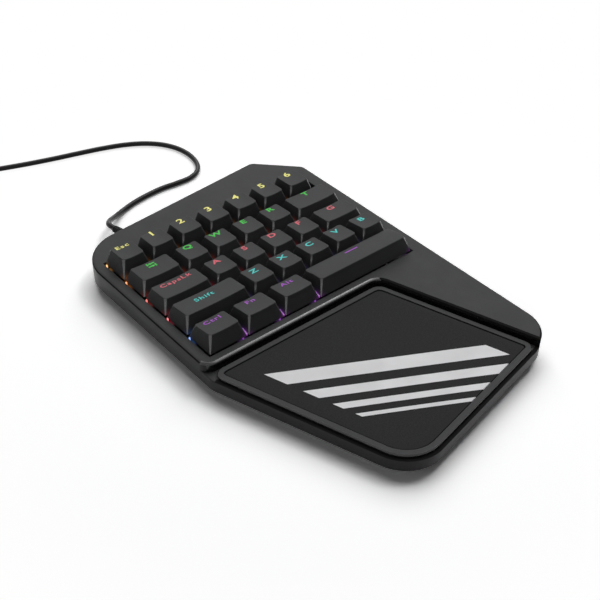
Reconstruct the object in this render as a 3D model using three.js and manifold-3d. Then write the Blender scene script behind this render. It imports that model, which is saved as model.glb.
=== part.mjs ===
// One-handed gaming keypad: 29 sprung keys in a stepped plastic case with a palm rest, on a USB lead.
// Lengths are millimetres and +Z is up. Pieces are laid out from the front left corner of the key
// block, with +X to the right, +Y away from the hand, and z = 0 on the desk.
import * as THREE from 'three';
import { mergeVertices } from 'three/addons/utils/BufferGeometryUtils.js';
import Module from 'manifold-3d';

const wasm = await Module();
wasm.setup();

// Key block: rows run from the number row at the back to the space bar row at the front.
// Widths are in key pitches, heights are shares of the tallest keycap.
const KEY_PITCH = 19.05;
const CAP_HEIGHT = 10.0;
const KEY_ROWS = [
  { names: ['esc', '1', '2', '3', '4', '5', '6'], widthShares: [1, 1, 1, 1, 1, 1, 1],
    frontShare: 1.0, backShare: 0.94 },
  { names: ['tab', 'q', 'w', 'e', 'r', 't'], widthShares: [1.5, 1, 1, 1, 1, 1.75],
    frontShare: 0.79, backShare: 0.73 },
  { names: ['caps_lock', 'a', 's', 'd', 'f', 'g'], widthShares: [1.75, 1, 1, 1, 1, 1.5],
    frontShare: 0.76, backShare: 0.67 },
  { names: ['shift', 'z', 'x', 'c', 'v', 'b'], widthShares: [2.25, 1, 1, 1, 1, 1],
    frontShare: 0.92, backShare: 0.76 },
  { names: ['ctrl', 'fn', 'alt', 'space'], widthShares: [1.25, 1.25, 1.25, 3.5],
    frontShare: 0.92, backShare: 0.72 },
];
const BLOCK_WIDTH_SHARE = 7.25;
const BLOCK_WIDTH = BLOCK_WIDTH_SHARE * KEY_PITCH;
const BLOCK_DEPTH = KEY_ROWS.length * KEY_PITCH;

// Keycap: how far its edges stand in from its cell, its walls, and the hollow in its top.
const CAP_INSET = 0.54;
const CAP_WALL = 1.4;
const CAP_TOP = 1.15;
const CAP_DISH = 0.6;
const CAP_DISH_BORDER = 1.7;
const CAP_TOP_SIDE_INSET = 2.9;
const CAP_TOP_FRONT_INSET = 3.4;
const CAP_TOP_BACK_INSET = 1.9;
const CAP_EDGE = 0.45;
const CAP_CORNER = 1.2;
const STEM_WIDTH = 5.6;
const KEY_TRAVEL = 4.0;

// Heights of the stack, from the desk up.
const FOOT_STAND = 1.5;
const FLOOR_THICKNESS = 1.8;
const POST_HEIGHT = 1.8;
const SEAT_GAP = 0.3;
const BOARD_THICKNESS = 1.6;
const PLATE_RISE = 3.3;
const PLATE_THICKNESS = 1.5;
const DECK_HEIGHT = 17.0;
const DECK_THICKNESS = 1.8;
const PALM_FLOOR_DROP = 5.2;
const PALM_FLOOR_THICKNESS = 1.6;
const WALL_FOOT = 5.3;

const FLOOR_TOP = FOOT_STAND + FLOOR_THICKNESS;
const POST_TOP = FLOOR_TOP + POST_HEIGHT;
const BOARD_BOTTOM = POST_TOP + SEAT_GAP;
const BOARD_TOP = BOARD_BOTTOM + BOARD_THICKNESS;
const PLATE_BOTTOM = BOARD_TOP + PLATE_RISE;
const PLATE_TOP = PLATE_BOTTOM + PLATE_THICKNESS;
const PALM_FLOOR = DECK_HEIGHT - PALM_FLOOR_DROP;

// Case outline: margins from the key block to the outer wall, and the palm rest in front of it.
const WALL = 2.0;
const RIM_LEFT = 6.6;
const RIM_RIGHT = 9.1;
const RIM_FRONT = 5.6;
const BACK_MARGIN_LEFT = 18.7;
const BACK_MARGIN_RIGHT = 33.6;
const BACK_LEFT_RADIUS = 27;
const CHAMFER_WIDTH = 22.6;
const CHAMFER_DEPTH = 24.9;
const CHAMFER_RADIUS = 5;
const PALM_START = 9.5;
const PALM_LENGTH_LEFT = 114.8;
const PALM_LENGTH_RIGHT = 91.8;
const PALM_SHIFT = 36.0;
const PALM_LEFT_RADIUS = 22;
const PALM_RIGHT_RADIUS = 20;
const STEP_CORNER = 106.7;
const STEP_RUN = 28.3;
const STEP_RADIUS = 8;
const DECK_CORNER_RADIUS = 7;
const DECK_CORNER_OVERHANG = 0.2;
const BEVEL_WIDTH = 1.5;
const BEVEL_HEIGHT = 1.2;
const PALM_BEVEL_WIDTH = 0.7;
const PALM_BEVEL_HEIGHT = 0.6;

// Key window and the skirt that hangs round it down to the switch plate.
const WINDOW_GAP = 0.4;
const SKIRT_WALL = 1.2;
const PLATE_MARGIN = 0.4;

// Palm rest: a raised frame round a pad.
const PALM_INSET = 1.7;
const FRAME_WIDTH = 3.2;
const FRAME_HEIGHT = 1.9;
const FRAME_BEVEL = 0.6;
const FRAME_BACK_RADIUS = 5;
const FRAME_SIDE_RADIUS = 7;
const FRAME_TIP_RADIUS = 4.8;
const PAD_GAP = 0.4;
const PAD_HEIGHT = 1.5;
const PAD_BEVEL = 0.4;
const FRAME_LEAST_RADIUS = 1.4;

// Bottom cover: a tray that closes the case from beneath.
const TRAY_INSET = 0.5;
const TRAY_SLOPE = 4.5;
const POST_RADIUS = 2.5;
const POST_SIDE_SHARES = [0.08, 0.5, 0.92];
const POST_DEPTH_SHARES = [0.2, 0.8];

// Case screws and the bosses that they pull together.
const SCREW_RADIUS = 1.3;
const SCREW_LENGTH = 6.1;
const SCREW_HEAD_RADIUS = 2.3;
const SCREW_HEAD_HEIGHT = 1.3;
const SCREW_RECESS = 0.3;
const SCREW_CLEARANCE = 0.3;
const BOSS_RADIUS = 3.4;
const POCKET_RADIUS = 2.7;
const BACK_SCREW_SETBACK = 13.4;
const BACK_SCREW_LEFT = 11;
const BACK_SCREW_RIGHT = 128;
const FRONT_SCREW_LEFT = 42;
const FRONT_SCREW_LEFT_DEPTH = 96;
const FRONT_SCREW_RIGHT = 124;
const FRONT_SCREW_RIGHT_DEPTH = 77;

// Rubber feet.
const FOOT_LENGTH = 24;
const FOOT_WIDTH = 8;
const FOOT_HEIGHT = 1.9;
const FOOT_GAP = 0.3;
const FOOT_BACK_SETBACK = 5;
const FOOT_LEFT = 22;
const FOOT_RIGHT = 118;
const FOOT_FRONT_LEFT = 60;
const FOOT_FRONT_RIGHT = 104;
const FOOT_FRONT_DEPTH = 88;

// Switch housings, in the plate's square holes.
const HOUSING_WIDTH = 13.6;
const HOUSING_FLANGE = 15.4;
const HOUSING_FLANGE_HEIGHT = 0.6;
const HOUSING_NECK = 13.8;
const HOUSING_HEAD = 10;
const HOUSING_RISE = 5.8;
const HOUSING_FLOOR = 0.9;
const STEM_GAP = 0.3;
const HOLE_GAP = 0.2;
const WEB_WIDTH = 4;
const WEB_HEIGHT = 0.6;

// Space bar stabiliser: a wire that turns in two clips under the plate.
const WIRE_RADIUS = 0.75;
const WIRE_REACH = 19.05;
const WIRE_SETBACK = 8.25;
const WIRE_RISE = 1.65;
const WIRE_ARM = 9;
const WIRE_ANGLE = THREE.MathUtils.degToRad(29.8);
const CLIP_REACH = 12;
const CLIP_WIDTH = 2;
const CLIP_DEPTH = 3.4;
const CLIP_FOOT = 0.4;
const WIRE_GAP = 0.3;
const STABILISER_FOOT_WIDTH = 3;
const STABILISER_FOOT_DEPTH = 4;
const STABILISER_GAP = 0.43;
const SLOT_WIDTH = 4;
const SLOT_FRONT = 7.4;
const SLOT_BACK = 3;

// Circuit board and what is on it.
const BOARD_EDGE = 1;
const BOARD_BACK_MARGIN = 9.5;
const CHIP_SIZE = 7;
const CHIP_HEIGHT = 1.2;
const CHIP_PLACE_SHARE = 0.55;
const SOCKET_WIDTH = 9;
const SOCKET_DEPTH = 5;
const SOCKET_HEIGHT = 4.6;
const SOLDER_GAP = 0.1;

// USB lead: where it leaves the back wall, its strain relief, its coil and its plug.
const CABLE_DIAMETER = 3.2;
const CABLE_EXIT = 27.4;
const CABLE_EXIT_HEIGHT = 10.5;
const RELIEF_FLANGE_RADIUS = 3.8;
const RELIEF_FLANGE = 1.4;
const RELIEF_NECK_RADIUS = 2.4;
const RELIEF_COLLAR_RADIUS = 3.3;
const RELIEF_COLLAR = 2.4;
const RELIEF_ROOT_RADIUS = 2.8;
const RELIEF_TIP_RADIUS = 2.1;
const RELIEF_LENGTH = 10.3;
const CORD_GAP = 0.3;
const COIL_PITCH = 3.7;
const COIL_RADIUS = 18.0;
const COIL_LAYERS = 4;
const COIL_TURNS = 10.25;
const COIL_LOOP_STEPS = 24;
const COIL_SIDES = 6;
const COIL_CENTRE_X = -11.5;
const COIL_CENTRE_Y = 265.5;
const COIL_START_ANGLE = THREE.MathUtils.degToRad(-104);
const TIE_THICKNESS = 0.8;
const TIE_WIDTH = 6;
const TIE_GAP = 0.3;
const TIE_ANGLE = THREE.MathUtils.degToRad(60);
const PLUG_LENGTH = 24;
const PLUG_WIDTH = 15;
const PLUG_HEIGHT = 8;
const PLUG_CORNER = 2.5;
const PLUG_SLEEVE_LENGTH = 9;
const PLUG_SLEEVE_ROOT_RADIUS = 3;
const PLUG_SLEEVE_TIP_RADIUS = 2.3;
const SHELL_LENGTH = 14;
const SHELL_WIDTH = 12;
const SHELL_HEIGHT = 4.5;
const SHELL_WALL = 0.4;
const SHELL_ROOT = 3;
const TONGUE_HEIGHT = 1.8;
const TONGUE_LENGTH = 12;
const PLUG_X = -54;
const PLUG_Y = 244;
const CABLE_SIDES = 8;
const RUN_STEPS = 44;
const TAIL_STEPS = 14;

// One overrun for every cut, and the reach of a mask that runs past the whole case.
const OVERRUN = 1;
const MASK_REACH = 300;

// The free stretch from the strain relief to the coil, and the one from the coil to the plug.
const RUN_POINTS = [
  [26.17, 130.9, 10.4], [26.6, 134.0, 9.7], [29.6, 138.6, 8.0], [34.2, 142.8, 5.6],
  [40.2, 147.3, 3.2], [47.6, 151.4, 1.8], [56.6, 154.2, 1.6], [67.4, 156.0, 1.6],
  [78.4, 156.7, 1.6], [88.4, 155.9, 1.6], [97.4, 155.6, 1.6], [104.0, 157.4, 1.6],
  [109.0, 161.4, 1.6], [112.4, 167.2, 1.6], [114.2, 174.4, 1.6], [114.4, 182.4, 1.6],
  [112.4, 191.4, 1.6], [107.4, 200.4, 1.6], [99.4, 208.2, 1.6], [88.4, 214.6, 1.6],
  [75.0, 219.6, 1.6], [60.0, 223.8, 1.6], [44.0, 228.0, 1.6], [28.0, 232.6, 1.7],
  [12.0, 237.4, 2.1], [0.0, 240.8, 2.6],
];
const TAIL_POINTS = [
  [-33.2, 281.6, 11.2], [-33.0, 290.0, 8.6], [-36.4, 297.6, 6.6], [-43.4, 301.6, 5.2],
  [-51.0, 298.6, 4.4], [-54.6, 291.0, 4.1], [-55.0, 283.0, 4.0],
];

// Plain colours of the pieces.
const COLOURS = {
  cap: { color: 0x2b2c2e, roughness: 0.55, metalness: 0 },
  cover: { color: 0x3a3b3d, roughness: 0.5, metalness: 0 },
  base: { color: 0x222325, roughness: 0.65, metalness: 0 },
  frame: { color: 0x46474a, roughness: 0.45, metalness: 0 },
  pad: { color: 0x2e2f31, roughness: 0.9, metalness: 0 },
  plate: { color: 0x151617, roughness: 0.5, metalness: 0.6 },
  housing: { color: 0x1b1c1e, roughness: 0.6, metalness: 0 },
  board: { color: 0x14361f, roughness: 0.5, metalness: 0 },
  chip: { color: 0x101012, roughness: 0.5, metalness: 0 },
  socket: { color: 0xd8d4c6, roughness: 0.6, metalness: 0 },
  steel: { color: 0x9a9ca0, roughness: 0.3, metalness: 1 },
  rubber: { color: 0x161718, roughness: 0.9, metalness: 0 },
  cable: { color: 0x1f2022, roughness: 0.7, metalness: 0 },
};

const keypad = new THREE.Group();
const CORD_NAMES = [];

function addPiece(name, geometry, finish) {
  const mesh = new THREE.Mesh(geometry, new THREE.MeshStandardMaterial(COLOURS[finish]));
  mesh.name = name;
  keypad.add(mesh);
  return mesh;
}

function addCordPiece(name, geometry, finish) {
  CORD_NAMES.push(name);
  return addPiece(name, geometry, finish);
}

// Closed mesh to solid and back, for joins and cuts.
function solid(geometry) {
  geometry.deleteAttribute('normal');
  geometry.deleteAttribute('uv');
  const merged = mergeVertices(geometry);
  return new wasm.Manifold(new wasm.Mesh({
    numProp: 3,
    vertProperties: Float32Array.from(merged.attributes.position.array),
    triVerts: Uint32Array.from(merged.index.array),
  }));
}

function surface(joined) {
  const mesh = joined.getMesh();
  const geometry = new THREE.BufferGeometry();
  geometry.setAttribute('position', new THREE.BufferAttribute(mesh.vertProperties, 3));
  geometry.setIndex(new THREE.BufferAttribute(mesh.triVerts, 1));
  geometry.computeVertexNormals();
  return geometry;
}

// Triangles of a flat outline, and of a small convex one.
function outlineFaces(ring) {
  return THREE.ShapeUtils.triangulateShape(ring, []);
}

function fanFaces(ring) {
  return Array.from({ length: ring.length - 2 }, (_, k) => [0, k + 1, k + 2]);
}

// A closed solid through rings of equal count, each counter-clockwise seen from the last one.
function loft(rings, endFaces = outlineFaces) {
  const count = rings[0].length;
  const positions = rings.flat().flatMap((point) => [point.x, point.y, point.z]);
  const index = [];
  for (let ring = 0; ring + 1 < rings.length; ring += 1) {
    for (let k = 0; k < count; k += 1) {
      const low = ring * count + k;
      const lowNext = ring * count + ((k + 1) % count);
      index.push(low, lowNext, lowNext + count, low, lowNext + count, low + count);
    }
  }
  const last = (rings.length - 1) * count;
  for (const [a, b, c] of endFaces(rings[0])) {
    index.push(c, b, a);
  }
  for (const [a, b, c] of endFaces(rings[rings.length - 1])) {
    index.push(last + a, last + b, last + c);
  }
  const geometry = new THREE.BufferGeometry();
  geometry.setAttribute('position', new THREE.Float32BufferAttribute(positions, 3));
  geometry.setIndex(index);
  return geometry;
}

function ringAt(points, z) {
  return points.map((point) => new THREE.Vector3(point.x, point.y, z));
}

function prism(points, low, high) {
  return solid(loft([ringAt(points, low), ringAt(points, high)]));
}

function box(left, right, front, back, low, high) {
  const geometry = new THREE.BoxGeometry(right - left, back - front, high - low);
  geometry.translate((left + right) / 2, (front + back) / 2, (low + high) / 2);
  return solid(geometry);
}

function rod(x, y, radius, low, high) {
  const geometry = new THREE.CylinderGeometry(radius, radius, high - low, 12);
  geometry.rotateX(Math.PI / 2);
  geometry.translate(x, y, (low + high) / 2);
  return solid(geometry);
}

function join(solids) {
  return solids.reduce((sum, next) => sum.add(next));
}

// Outline with rounded corners, drawn in by an inset. Corners run counter-clockwise, and each
// has its radius and the number of steps in its arc. The arcs stay concentric as the inset grows.
function outline(corners, inset, leastRadius = 0) {
  const count = corners.length;
  const lines = corners.map((corner, i) => {
    const next = corners[(i + 1) % count];
    const along = new THREE.Vector2(next.x - corner.x, next.y - corner.y).normalize();
    const inward = new THREE.Vector2(-along.y, along.x);
    const start = new THREE.Vector2(corner.x, corner.y).addScaledVector(inward, inset);
    return { start, along, inward };
  });
  return corners.flatMap((corner, i) => {
    const before = lines[(i + count - 1) % count];
    const after = lines[i];
    const sharp = crossing(before, after);
    if (corner.radius === 0) {
      return [sharp];
    }
    const turn = Math.atan2(before.along.cross(after.along), before.along.dot(after.along));
    const side = Math.sign(turn);
    const radius = Math.max(corner.radius - side * inset, leastRadius);
    const start = sharp.clone().addScaledVector(before.along, -radius * Math.tan(Math.abs(turn) / 2));
    const centre = start.clone().addScaledVector(before.inward, side * radius);
    return Array.from({ length: corner.steps + 1 }, (_, k) => (
      start.clone().rotateAround(centre, (turn * k) / corner.steps)
    ));
  });
}

function crossing(lineA, lineB) {
  const apart = lineB.start.clone().sub(lineA.start);
  const along = apart.cross(lineB.along) / lineA.along.cross(lineB.along);
  return lineA.start.clone().addScaledVector(lineA.along, along);
}

function rectangle(left, right, front, back, radius = 0, steps = 2) {
  return outline([
    { x: left, y: front, radius, steps },
    { x: right, y: front, radius, steps },
    { x: right, y: back, radius, steps },
    { x: left, y: back, radius, steps },
  ], 0);
}

// Outer wall, with the kink where the palm rest starts.
const wallLeft = -RIM_LEFT;
const wallRight = BLOCK_WIDTH + RIM_RIGHT;
const backSlope = (BACK_MARGIN_RIGHT - BACK_MARGIN_LEFT) / (wallRight - wallLeft);
const backLeft = BLOCK_DEPTH + BACK_MARGIN_LEFT;
const backRight = BLOCK_DEPTH + BACK_MARGIN_RIGHT;
const wallCorners = [
  { x: wallLeft + PALM_SHIFT, y: -PALM_LENGTH_LEFT, radius: PALM_LEFT_RADIUS, steps: 8 },
  { x: wallRight, y: -PALM_LENGTH_RIGHT, radius: PALM_RIGHT_RADIUS, steps: 8 },
  { x: wallRight, y: backRight - CHAMFER_DEPTH, radius: CHAMFER_RADIUS, steps: 3 },
  { x: wallRight - CHAMFER_WIDTH, y: backRight - backSlope * CHAMFER_WIDTH,
    radius: CHAMFER_RADIUS, steps: 3 },
  { x: wallLeft, y: backLeft, radius: BACK_LEFT_RADIUS, steps: 10 },
  { x: wallLeft, y: -PALM_START, radius: 0, steps: 0 },
];
const wallOutline = (inset) => outline(wallCorners, inset);

// Mask of the raised deck: everything behind its front edge and right of the slanted step.
const stepAlong = new THREE.Vector2(STEP_RUN, RIM_FRONT - PALM_LENGTH_RIGHT).normalize();
const stepFacing = new THREE.Vector2(-stepAlong.y, stepAlong.x);
function deckMask(inset) {
  const points = [];
  const corner = new THREE.Vector2(
    wallLeft + DECK_CORNER_RADIUS - DECK_CORNER_OVERHANG,
    -RIM_FRONT + DECK_CORNER_RADIUS,
  );
  points.push(new THREE.Vector2(-MASK_REACH, corner.y));
  const cornerSteps = 5;
  for (let k = 0; k <= cornerSteps; k += 1) {
    const angle = Math.PI + (Math.PI / 2) * (k / cornerSteps);
    const radius = DECK_CORNER_RADIUS - inset;
    points.push(new THREE.Vector2(
      corner.x + radius * Math.cos(angle),
      corner.y + radius * Math.sin(angle),
    ));
  }
  const frontLine = {
    start: new THREE.Vector2(0, -RIM_FRONT - STEP_RADIUS),
    along: new THREE.Vector2(1, 0),
  };
  const stepLine = {
    start: new THREE.Vector2(STEP_CORNER, -RIM_FRONT).addScaledVector(stepFacing, -STEP_RADIUS),
    along: stepAlong,
  };
  const centre = crossing(frontLine, stepLine);
  const endAngle = stepFacing.angle();
  const stepSteps = 6;
  for (let k = 0; k <= stepSteps; k += 1) {
    const angle = Math.PI / 2 + (endAngle - Math.PI / 2) * (k / stepSteps);
    const radius = STEP_RADIUS + inset;
    points.push(new THREE.Vector2(
      centre.x + radius * Math.cos(angle),
      centre.y + radius * Math.sin(angle),
    ));
  }
  const foot = points[points.length - 1].clone().addScaledVector(stepAlong, MASK_REACH);
  points.push(foot);
  points.push(new THREE.Vector2(MASK_REACH * 2, foot.y));
  points.push(new THREE.Vector2(MASK_REACH * 2, MASK_REACH));
  points.push(new THREE.Vector2(-MASK_REACH, MASK_REACH));
  return points;
}

// Case screws: two behind the keys and two under the palm rest. The back pair reach the deck.
const screws = [
  { name: 'back_left', x: BACK_SCREW_LEFT, y: BLOCK_DEPTH + BACK_SCREW_SETBACK, deck: true },
  { name: 'back_right', x: BACK_SCREW_RIGHT, y: BLOCK_DEPTH + BACK_SCREW_SETBACK, deck: true },
  { name: 'front_left', x: FRONT_SCREW_LEFT, y: -FRONT_SCREW_LEFT_DEPTH, deck: false },
  { name: 'front_right', x: FRONT_SCREW_RIGHT, y: -FRONT_SCREW_RIGHT_DEPTH, deck: false },
];
const pocketTop = FOOT_STAND + SCREW_RECESS + SCREW_HEAD_HEIGHT + SEAT_GAP;
const lowBossTop = WALL_FOOT - SEAT_GAP - SEAT_GAP / 2;
const highBossFoot = lowBossTop + SEAT_GAP;
const screwTop = FOOT_STAND + SCREW_RECESS + SCREW_HEAD_HEIGHT + SCREW_LENGTH;

// The lead leaves square to the sloping back wall.
const exitNormal = new THREE.Vector2(-backSlope, 1).normalize();
const exitPoint = new THREE.Vector2(CABLE_EXIT, backLeft + backSlope * (CABLE_EXIT - wallLeft));
function alongExit(distance) {
  return exitPoint.clone().addScaledVector(exitNormal, distance);
}

// Turns a shape that stands on +Y at the origin to the lead's exit.
function placeAtExit(geometry) {
  geometry.rotateZ(exitNormal.angle() - Math.PI / 2);
  geometry.translate(exitPoint.x, exitPoint.y, CABLE_EXIT_HEIGHT);
  return geometry;
}

// Top cover: deck, side walls, palm floor, window skirt and screw bosses in one moulding.
function topCover() {
  const bevelFoot = DECK_HEIGHT - BEVEL_HEIGHT;
  const deckBlock = solid(loft([
    ringAt(wallOutline(0), WALL_FOOT),
    ringAt(wallOutline(0), bevelFoot),
    ringAt(wallOutline(BEVEL_WIDTH), DECK_HEIGHT),
  ])).intersect(solid(loft([
    ringAt(deckMask(0), WALL_FOOT - OVERRUN),
    ringAt(deckMask(0), bevelFoot),
    ringAt(deckMask(BEVEL_WIDTH), DECK_HEIGHT),
  ])));
  const palmBlock = solid(loft([
    ringAt(wallOutline(0), WALL_FOOT),
    ringAt(wallOutline(0), PALM_FLOOR - PALM_BEVEL_HEIGHT),
    ringAt(wallOutline(PALM_BEVEL_WIDTH), PALM_FLOOR),
  ]));
  const deckHollow = prism(wallOutline(WALL), WALL_FOOT - OVERRUN, DECK_HEIGHT - DECK_THICKNESS)
    .intersect(prism(deckMask(WALL), WALL_FOOT - OVERRUN * 2, DECK_HEIGHT));
  const palmHollow = prism(
    wallOutline(WALL),
    WALL_FOOT - OVERRUN,
    PALM_FLOOR - PALM_FLOOR_THICKNESS,
  );
  const deckUnder = DECK_HEIGHT - DECK_THICKNESS;
  const skirtFoot = PLATE_TOP + SEAT_GAP;
  const skirt = box(
    -WINDOW_GAP - SKIRT_WALL,
    BLOCK_WIDTH + WINDOW_GAP + SKIRT_WALL,
    -WINDOW_GAP - SKIRT_WALL,
    BLOCK_DEPTH + WINDOW_GAP + SKIRT_WALL,
    skirtFoot,
    deckUnder + DECK_THICKNESS / 2,
  );
  const window = box(
    -WINDOW_GAP,
    BLOCK_WIDTH + WINDOW_GAP,
    -WINDOW_GAP,
    BLOCK_DEPTH + WINDOW_GAP,
    skirtFoot - OVERRUN,
    DECK_HEIGHT + OVERRUN,
  );
  const bosses = screws.map((screw) => rod(
    screw.x,
    screw.y,
    BOSS_RADIUS,
    highBossFoot,
    screw.deck ? deckUnder + DECK_THICKNESS / 2 : PALM_FLOOR - PALM_FLOOR_THICKNESS / 2,
  ));
  const screwHoles = screws.map((screw) => rod(
    screw.x,
    screw.y,
    SCREW_RADIUS + SCREW_CLEARANCE,
    highBossFoot - OVERRUN,
    screwTop + SCREW_CLEARANCE,
  ));
  const cableHole = new THREE.CylinderGeometry(
    RELIEF_NECK_RADIUS + CORD_GAP,
    RELIEF_NECK_RADIUS + CORD_GAP,
    (WALL + OVERRUN) * 2,
    12,
  );
  return deckBlock.add(palmBlock)
    .subtract(deckHollow)
    .subtract(palmHollow)
    .add(skirt)
    .add(join(bosses))
    .subtract(window)
    .subtract(join(screwHoles))
    .subtract(solid(placeAtExit(cableHole)));
}

addPiece('top_cover', surface(topCover()), 'cover');

// Palm frame and pad, both drawn in from the palm floor's own edge.
const palmSlope = PALM_SHIFT / (PALM_LENGTH_LEFT - PALM_START);
const frontAlong = new THREE.Vector2(
  wallRight - wallLeft - PALM_SHIFT,
  PALM_LENGTH_LEFT - PALM_LENGTH_RIGHT,
).normalize();
const palmTip = crossing(
  { start: new THREE.Vector2(wallRight, -PALM_LENGTH_RIGHT), along: frontAlong },
  { start: new THREE.Vector2(STEP_CORNER, -RIM_FRONT), along: stepAlong },
);
const palmCorners = [
  { x: wallLeft - palmSlope * (PALM_START - RIM_FRONT), y: -RIM_FRONT,
    radius: FRAME_BACK_RADIUS + PALM_INSET, steps: 4 },
  { x: wallLeft + PALM_SHIFT, y: -PALM_LENGTH_LEFT, radius: PALM_LEFT_RADIUS, steps: 8 },
  { x: palmTip.x, y: palmTip.y, radius: FRAME_TIP_RADIUS + PALM_INSET, steps: 5 },
  { x: STEP_CORNER, y: -RIM_FRONT, radius: FRAME_SIDE_RADIUS + PALM_INSET, steps: 4 },
];
const palmOutline = (inset) => outline(palmCorners, PALM_INSET + inset, FRAME_LEAST_RADIUS);
const seatTop = PALM_FLOOR + SEAT_GAP;

function palmFrame() {
  const top = seatTop + FRAME_HEIGHT;
  const ring = solid(loft([
    ringAt(palmOutline(0), seatTop),
    ringAt(palmOutline(0), top - FRAME_BEVEL),
    ringAt(palmOutline(FRAME_BEVEL), top),
  ]));
  return ring.subtract(prism(palmOutline(FRAME_WIDTH), seatTop - OVERRUN, top + OVERRUN));
}

addPiece('palm_frame', surface(palmFrame()), 'frame');

addPiece('palm_pad', loft([
  ringAt(palmOutline(FRAME_WIDTH + PAD_GAP), seatTop),
  ringAt(palmOutline(FRAME_WIDTH + PAD_GAP), seatTop + PAD_HEIGHT - PAD_BEVEL),
  ringAt(palmOutline(FRAME_WIDTH + PAD_GAP + PAD_BEVEL), seatTop + PAD_HEIGHT),
]), 'pad');

// Rubber feet, each let into a shallow recess in the underside.
const feet = [
  { name: 'back_left', x: FOOT_LEFT, y: BLOCK_DEPTH + FOOT_BACK_SETBACK },
  { name: 'back_right', x: FOOT_RIGHT, y: BLOCK_DEPTH + FOOT_BACK_SETBACK },
  { name: 'front_left', x: FOOT_FRONT_LEFT, y: -FOOT_FRONT_DEPTH },
  { name: 'front_right', x: FOOT_FRONT_RIGHT, y: -FOOT_FRONT_DEPTH + FOOT_WIDTH / 2 },
];
function footOutline(foot, grow) {
  const halfLength = FOOT_LENGTH / 2 + grow;
  const halfWidth = FOOT_WIDTH / 2 + grow;
  return rectangle(
    foot.x - halfLength,
    foot.x + halfLength,
    foot.y - halfWidth,
    foot.y + halfWidth,
    halfWidth,
    4,
  );
}

for (const foot of feet) {
  addPiece(`rubber_foot_${foot.name}`, surface(prism(footOutline(foot, 0), 0, FOOT_HEIGHT)), 'rubber');
}

// Bottom cover: a tray with sloping sides, posts for the board, and screw pockets.
function bottomCover() {
  const rim = WALL_FOOT - SEAT_GAP;
  const height = rim - FOOT_STAND;
  const innerSlope = TRAY_SLOPE * (1 - FLOOR_THICKNESS / height);
  const tray = solid(loft([
    ringAt(wallOutline(TRAY_INSET + TRAY_SLOPE), FOOT_STAND),
    ringAt(wallOutline(TRAY_INSET), rim),
  ]));
  const hollow = solid(loft([
    ringAt(wallOutline(TRAY_INSET + WALL + innerSlope), FLOOR_TOP),
    ringAt(wallOutline(TRAY_INSET + WALL), rim),
    ringAt(wallOutline(TRAY_INSET + WALL), rim + OVERRUN),
  ]));
  const posts = POST_SIDE_SHARES.flatMap((side) => POST_DEPTH_SHARES.map((depth) => rod(
    side * BLOCK_WIDTH,
    depth * BLOCK_DEPTH,
    POST_RADIUS,
    FLOOR_TOP - FLOOR_THICKNESS / 2,
    POST_TOP,
  )));
  const bosses = screws.map((screw) => rod(
    screw.x,
    screw.y,
    BOSS_RADIUS + SCREW_CLEARANCE,
    FLOOR_TOP - FLOOR_THICKNESS / 2,
    lowBossTop,
  ));
  const pockets = screws.map((screw) => rod(
    screw.x,
    screw.y,
    POCKET_RADIUS,
    FOOT_STAND - OVERRUN,
    pocketTop,
  ));
  const holes = screws.map((screw) => rod(
    screw.x,
    screw.y,
    SCREW_RADIUS + SCREW_CLEARANCE,
    FOOT_STAND - OVERRUN,
    lowBossTop + OVERRUN,
  ));
  const recesses = feet.map((foot) => prism(
    footOutline(foot, FOOT_GAP),
    FOOT_STAND - OVERRUN,
    FOOT_HEIGHT + FOOT_GAP,
  ));
  return tray
    .subtract(hollow)
    .add(join(posts))
    .add(join(bosses))
    .subtract(join(pockets))
    .subtract(join(holes))
    .subtract(join(recesses));
}

addPiece('bottom_cover', surface(bottomCover()), 'base');

// Pan head screws, driven up from the underside.
const headFoot = FOOT_STAND + SCREW_RECESS;
const headTop = headFoot + SCREW_HEAD_HEIGHT;
for (const screw of screws) {
  const profile = [
    new THREE.Vector2(0, headFoot),
    new THREE.Vector2(SCREW_HEAD_RADIUS, headFoot),
    new THREE.Vector2(SCREW_HEAD_RADIUS, headTop),
    new THREE.Vector2(SCREW_RADIUS, headTop),
    new THREE.Vector2(SCREW_RADIUS, screwTop),
    new THREE.Vector2(0, screwTop),
  ];
  const geometry = new THREE.LatheGeometry(profile, 10);
  geometry.rotateX(Math.PI / 2);
  geometry.translate(screw.x, screw.y, 0);
  addPiece(`case_screw_${screw.name}`, surface(solid(geometry)), 'steel');
}

// Circuit board, its controller, and the socket that the lead plugs into.
const boardBack = BLOCK_DEPTH + BOARD_BACK_MARGIN;
addPiece('circuit_board', surface(box(
  BOARD_EDGE,
  BLOCK_WIDTH - BOARD_EDGE,
  BOARD_EDGE,
  boardBack,
  BOARD_BOTTOM,
  BOARD_TOP,
)), 'board');
const chipX = CHIP_PLACE_SHARE * BLOCK_WIDTH;
const chipBase = BOARD_TOP + SOLDER_GAP;
addPiece('controller_chip', surface(box(
  chipX - CHIP_SIZE / 2,
  chipX + CHIP_SIZE / 2,
  boardBack - BOARD_EDGE - CHIP_SIZE,
  boardBack - BOARD_EDGE,
  chipBase,
  chipBase + CHIP_HEIGHT,
)), 'chip');
const socketBack = boardBack - BOARD_EDGE;
addPiece('cable_socket', surface(box(
  CABLE_EXIT - SOCKET_WIDTH / 2,
  CABLE_EXIT + SOCKET_WIDTH / 2,
  socketBack - SOCKET_DEPTH,
  socketBack,
  chipBase,
  chipBase + SOCKET_HEIGHT,
)), 'socket');

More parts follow.
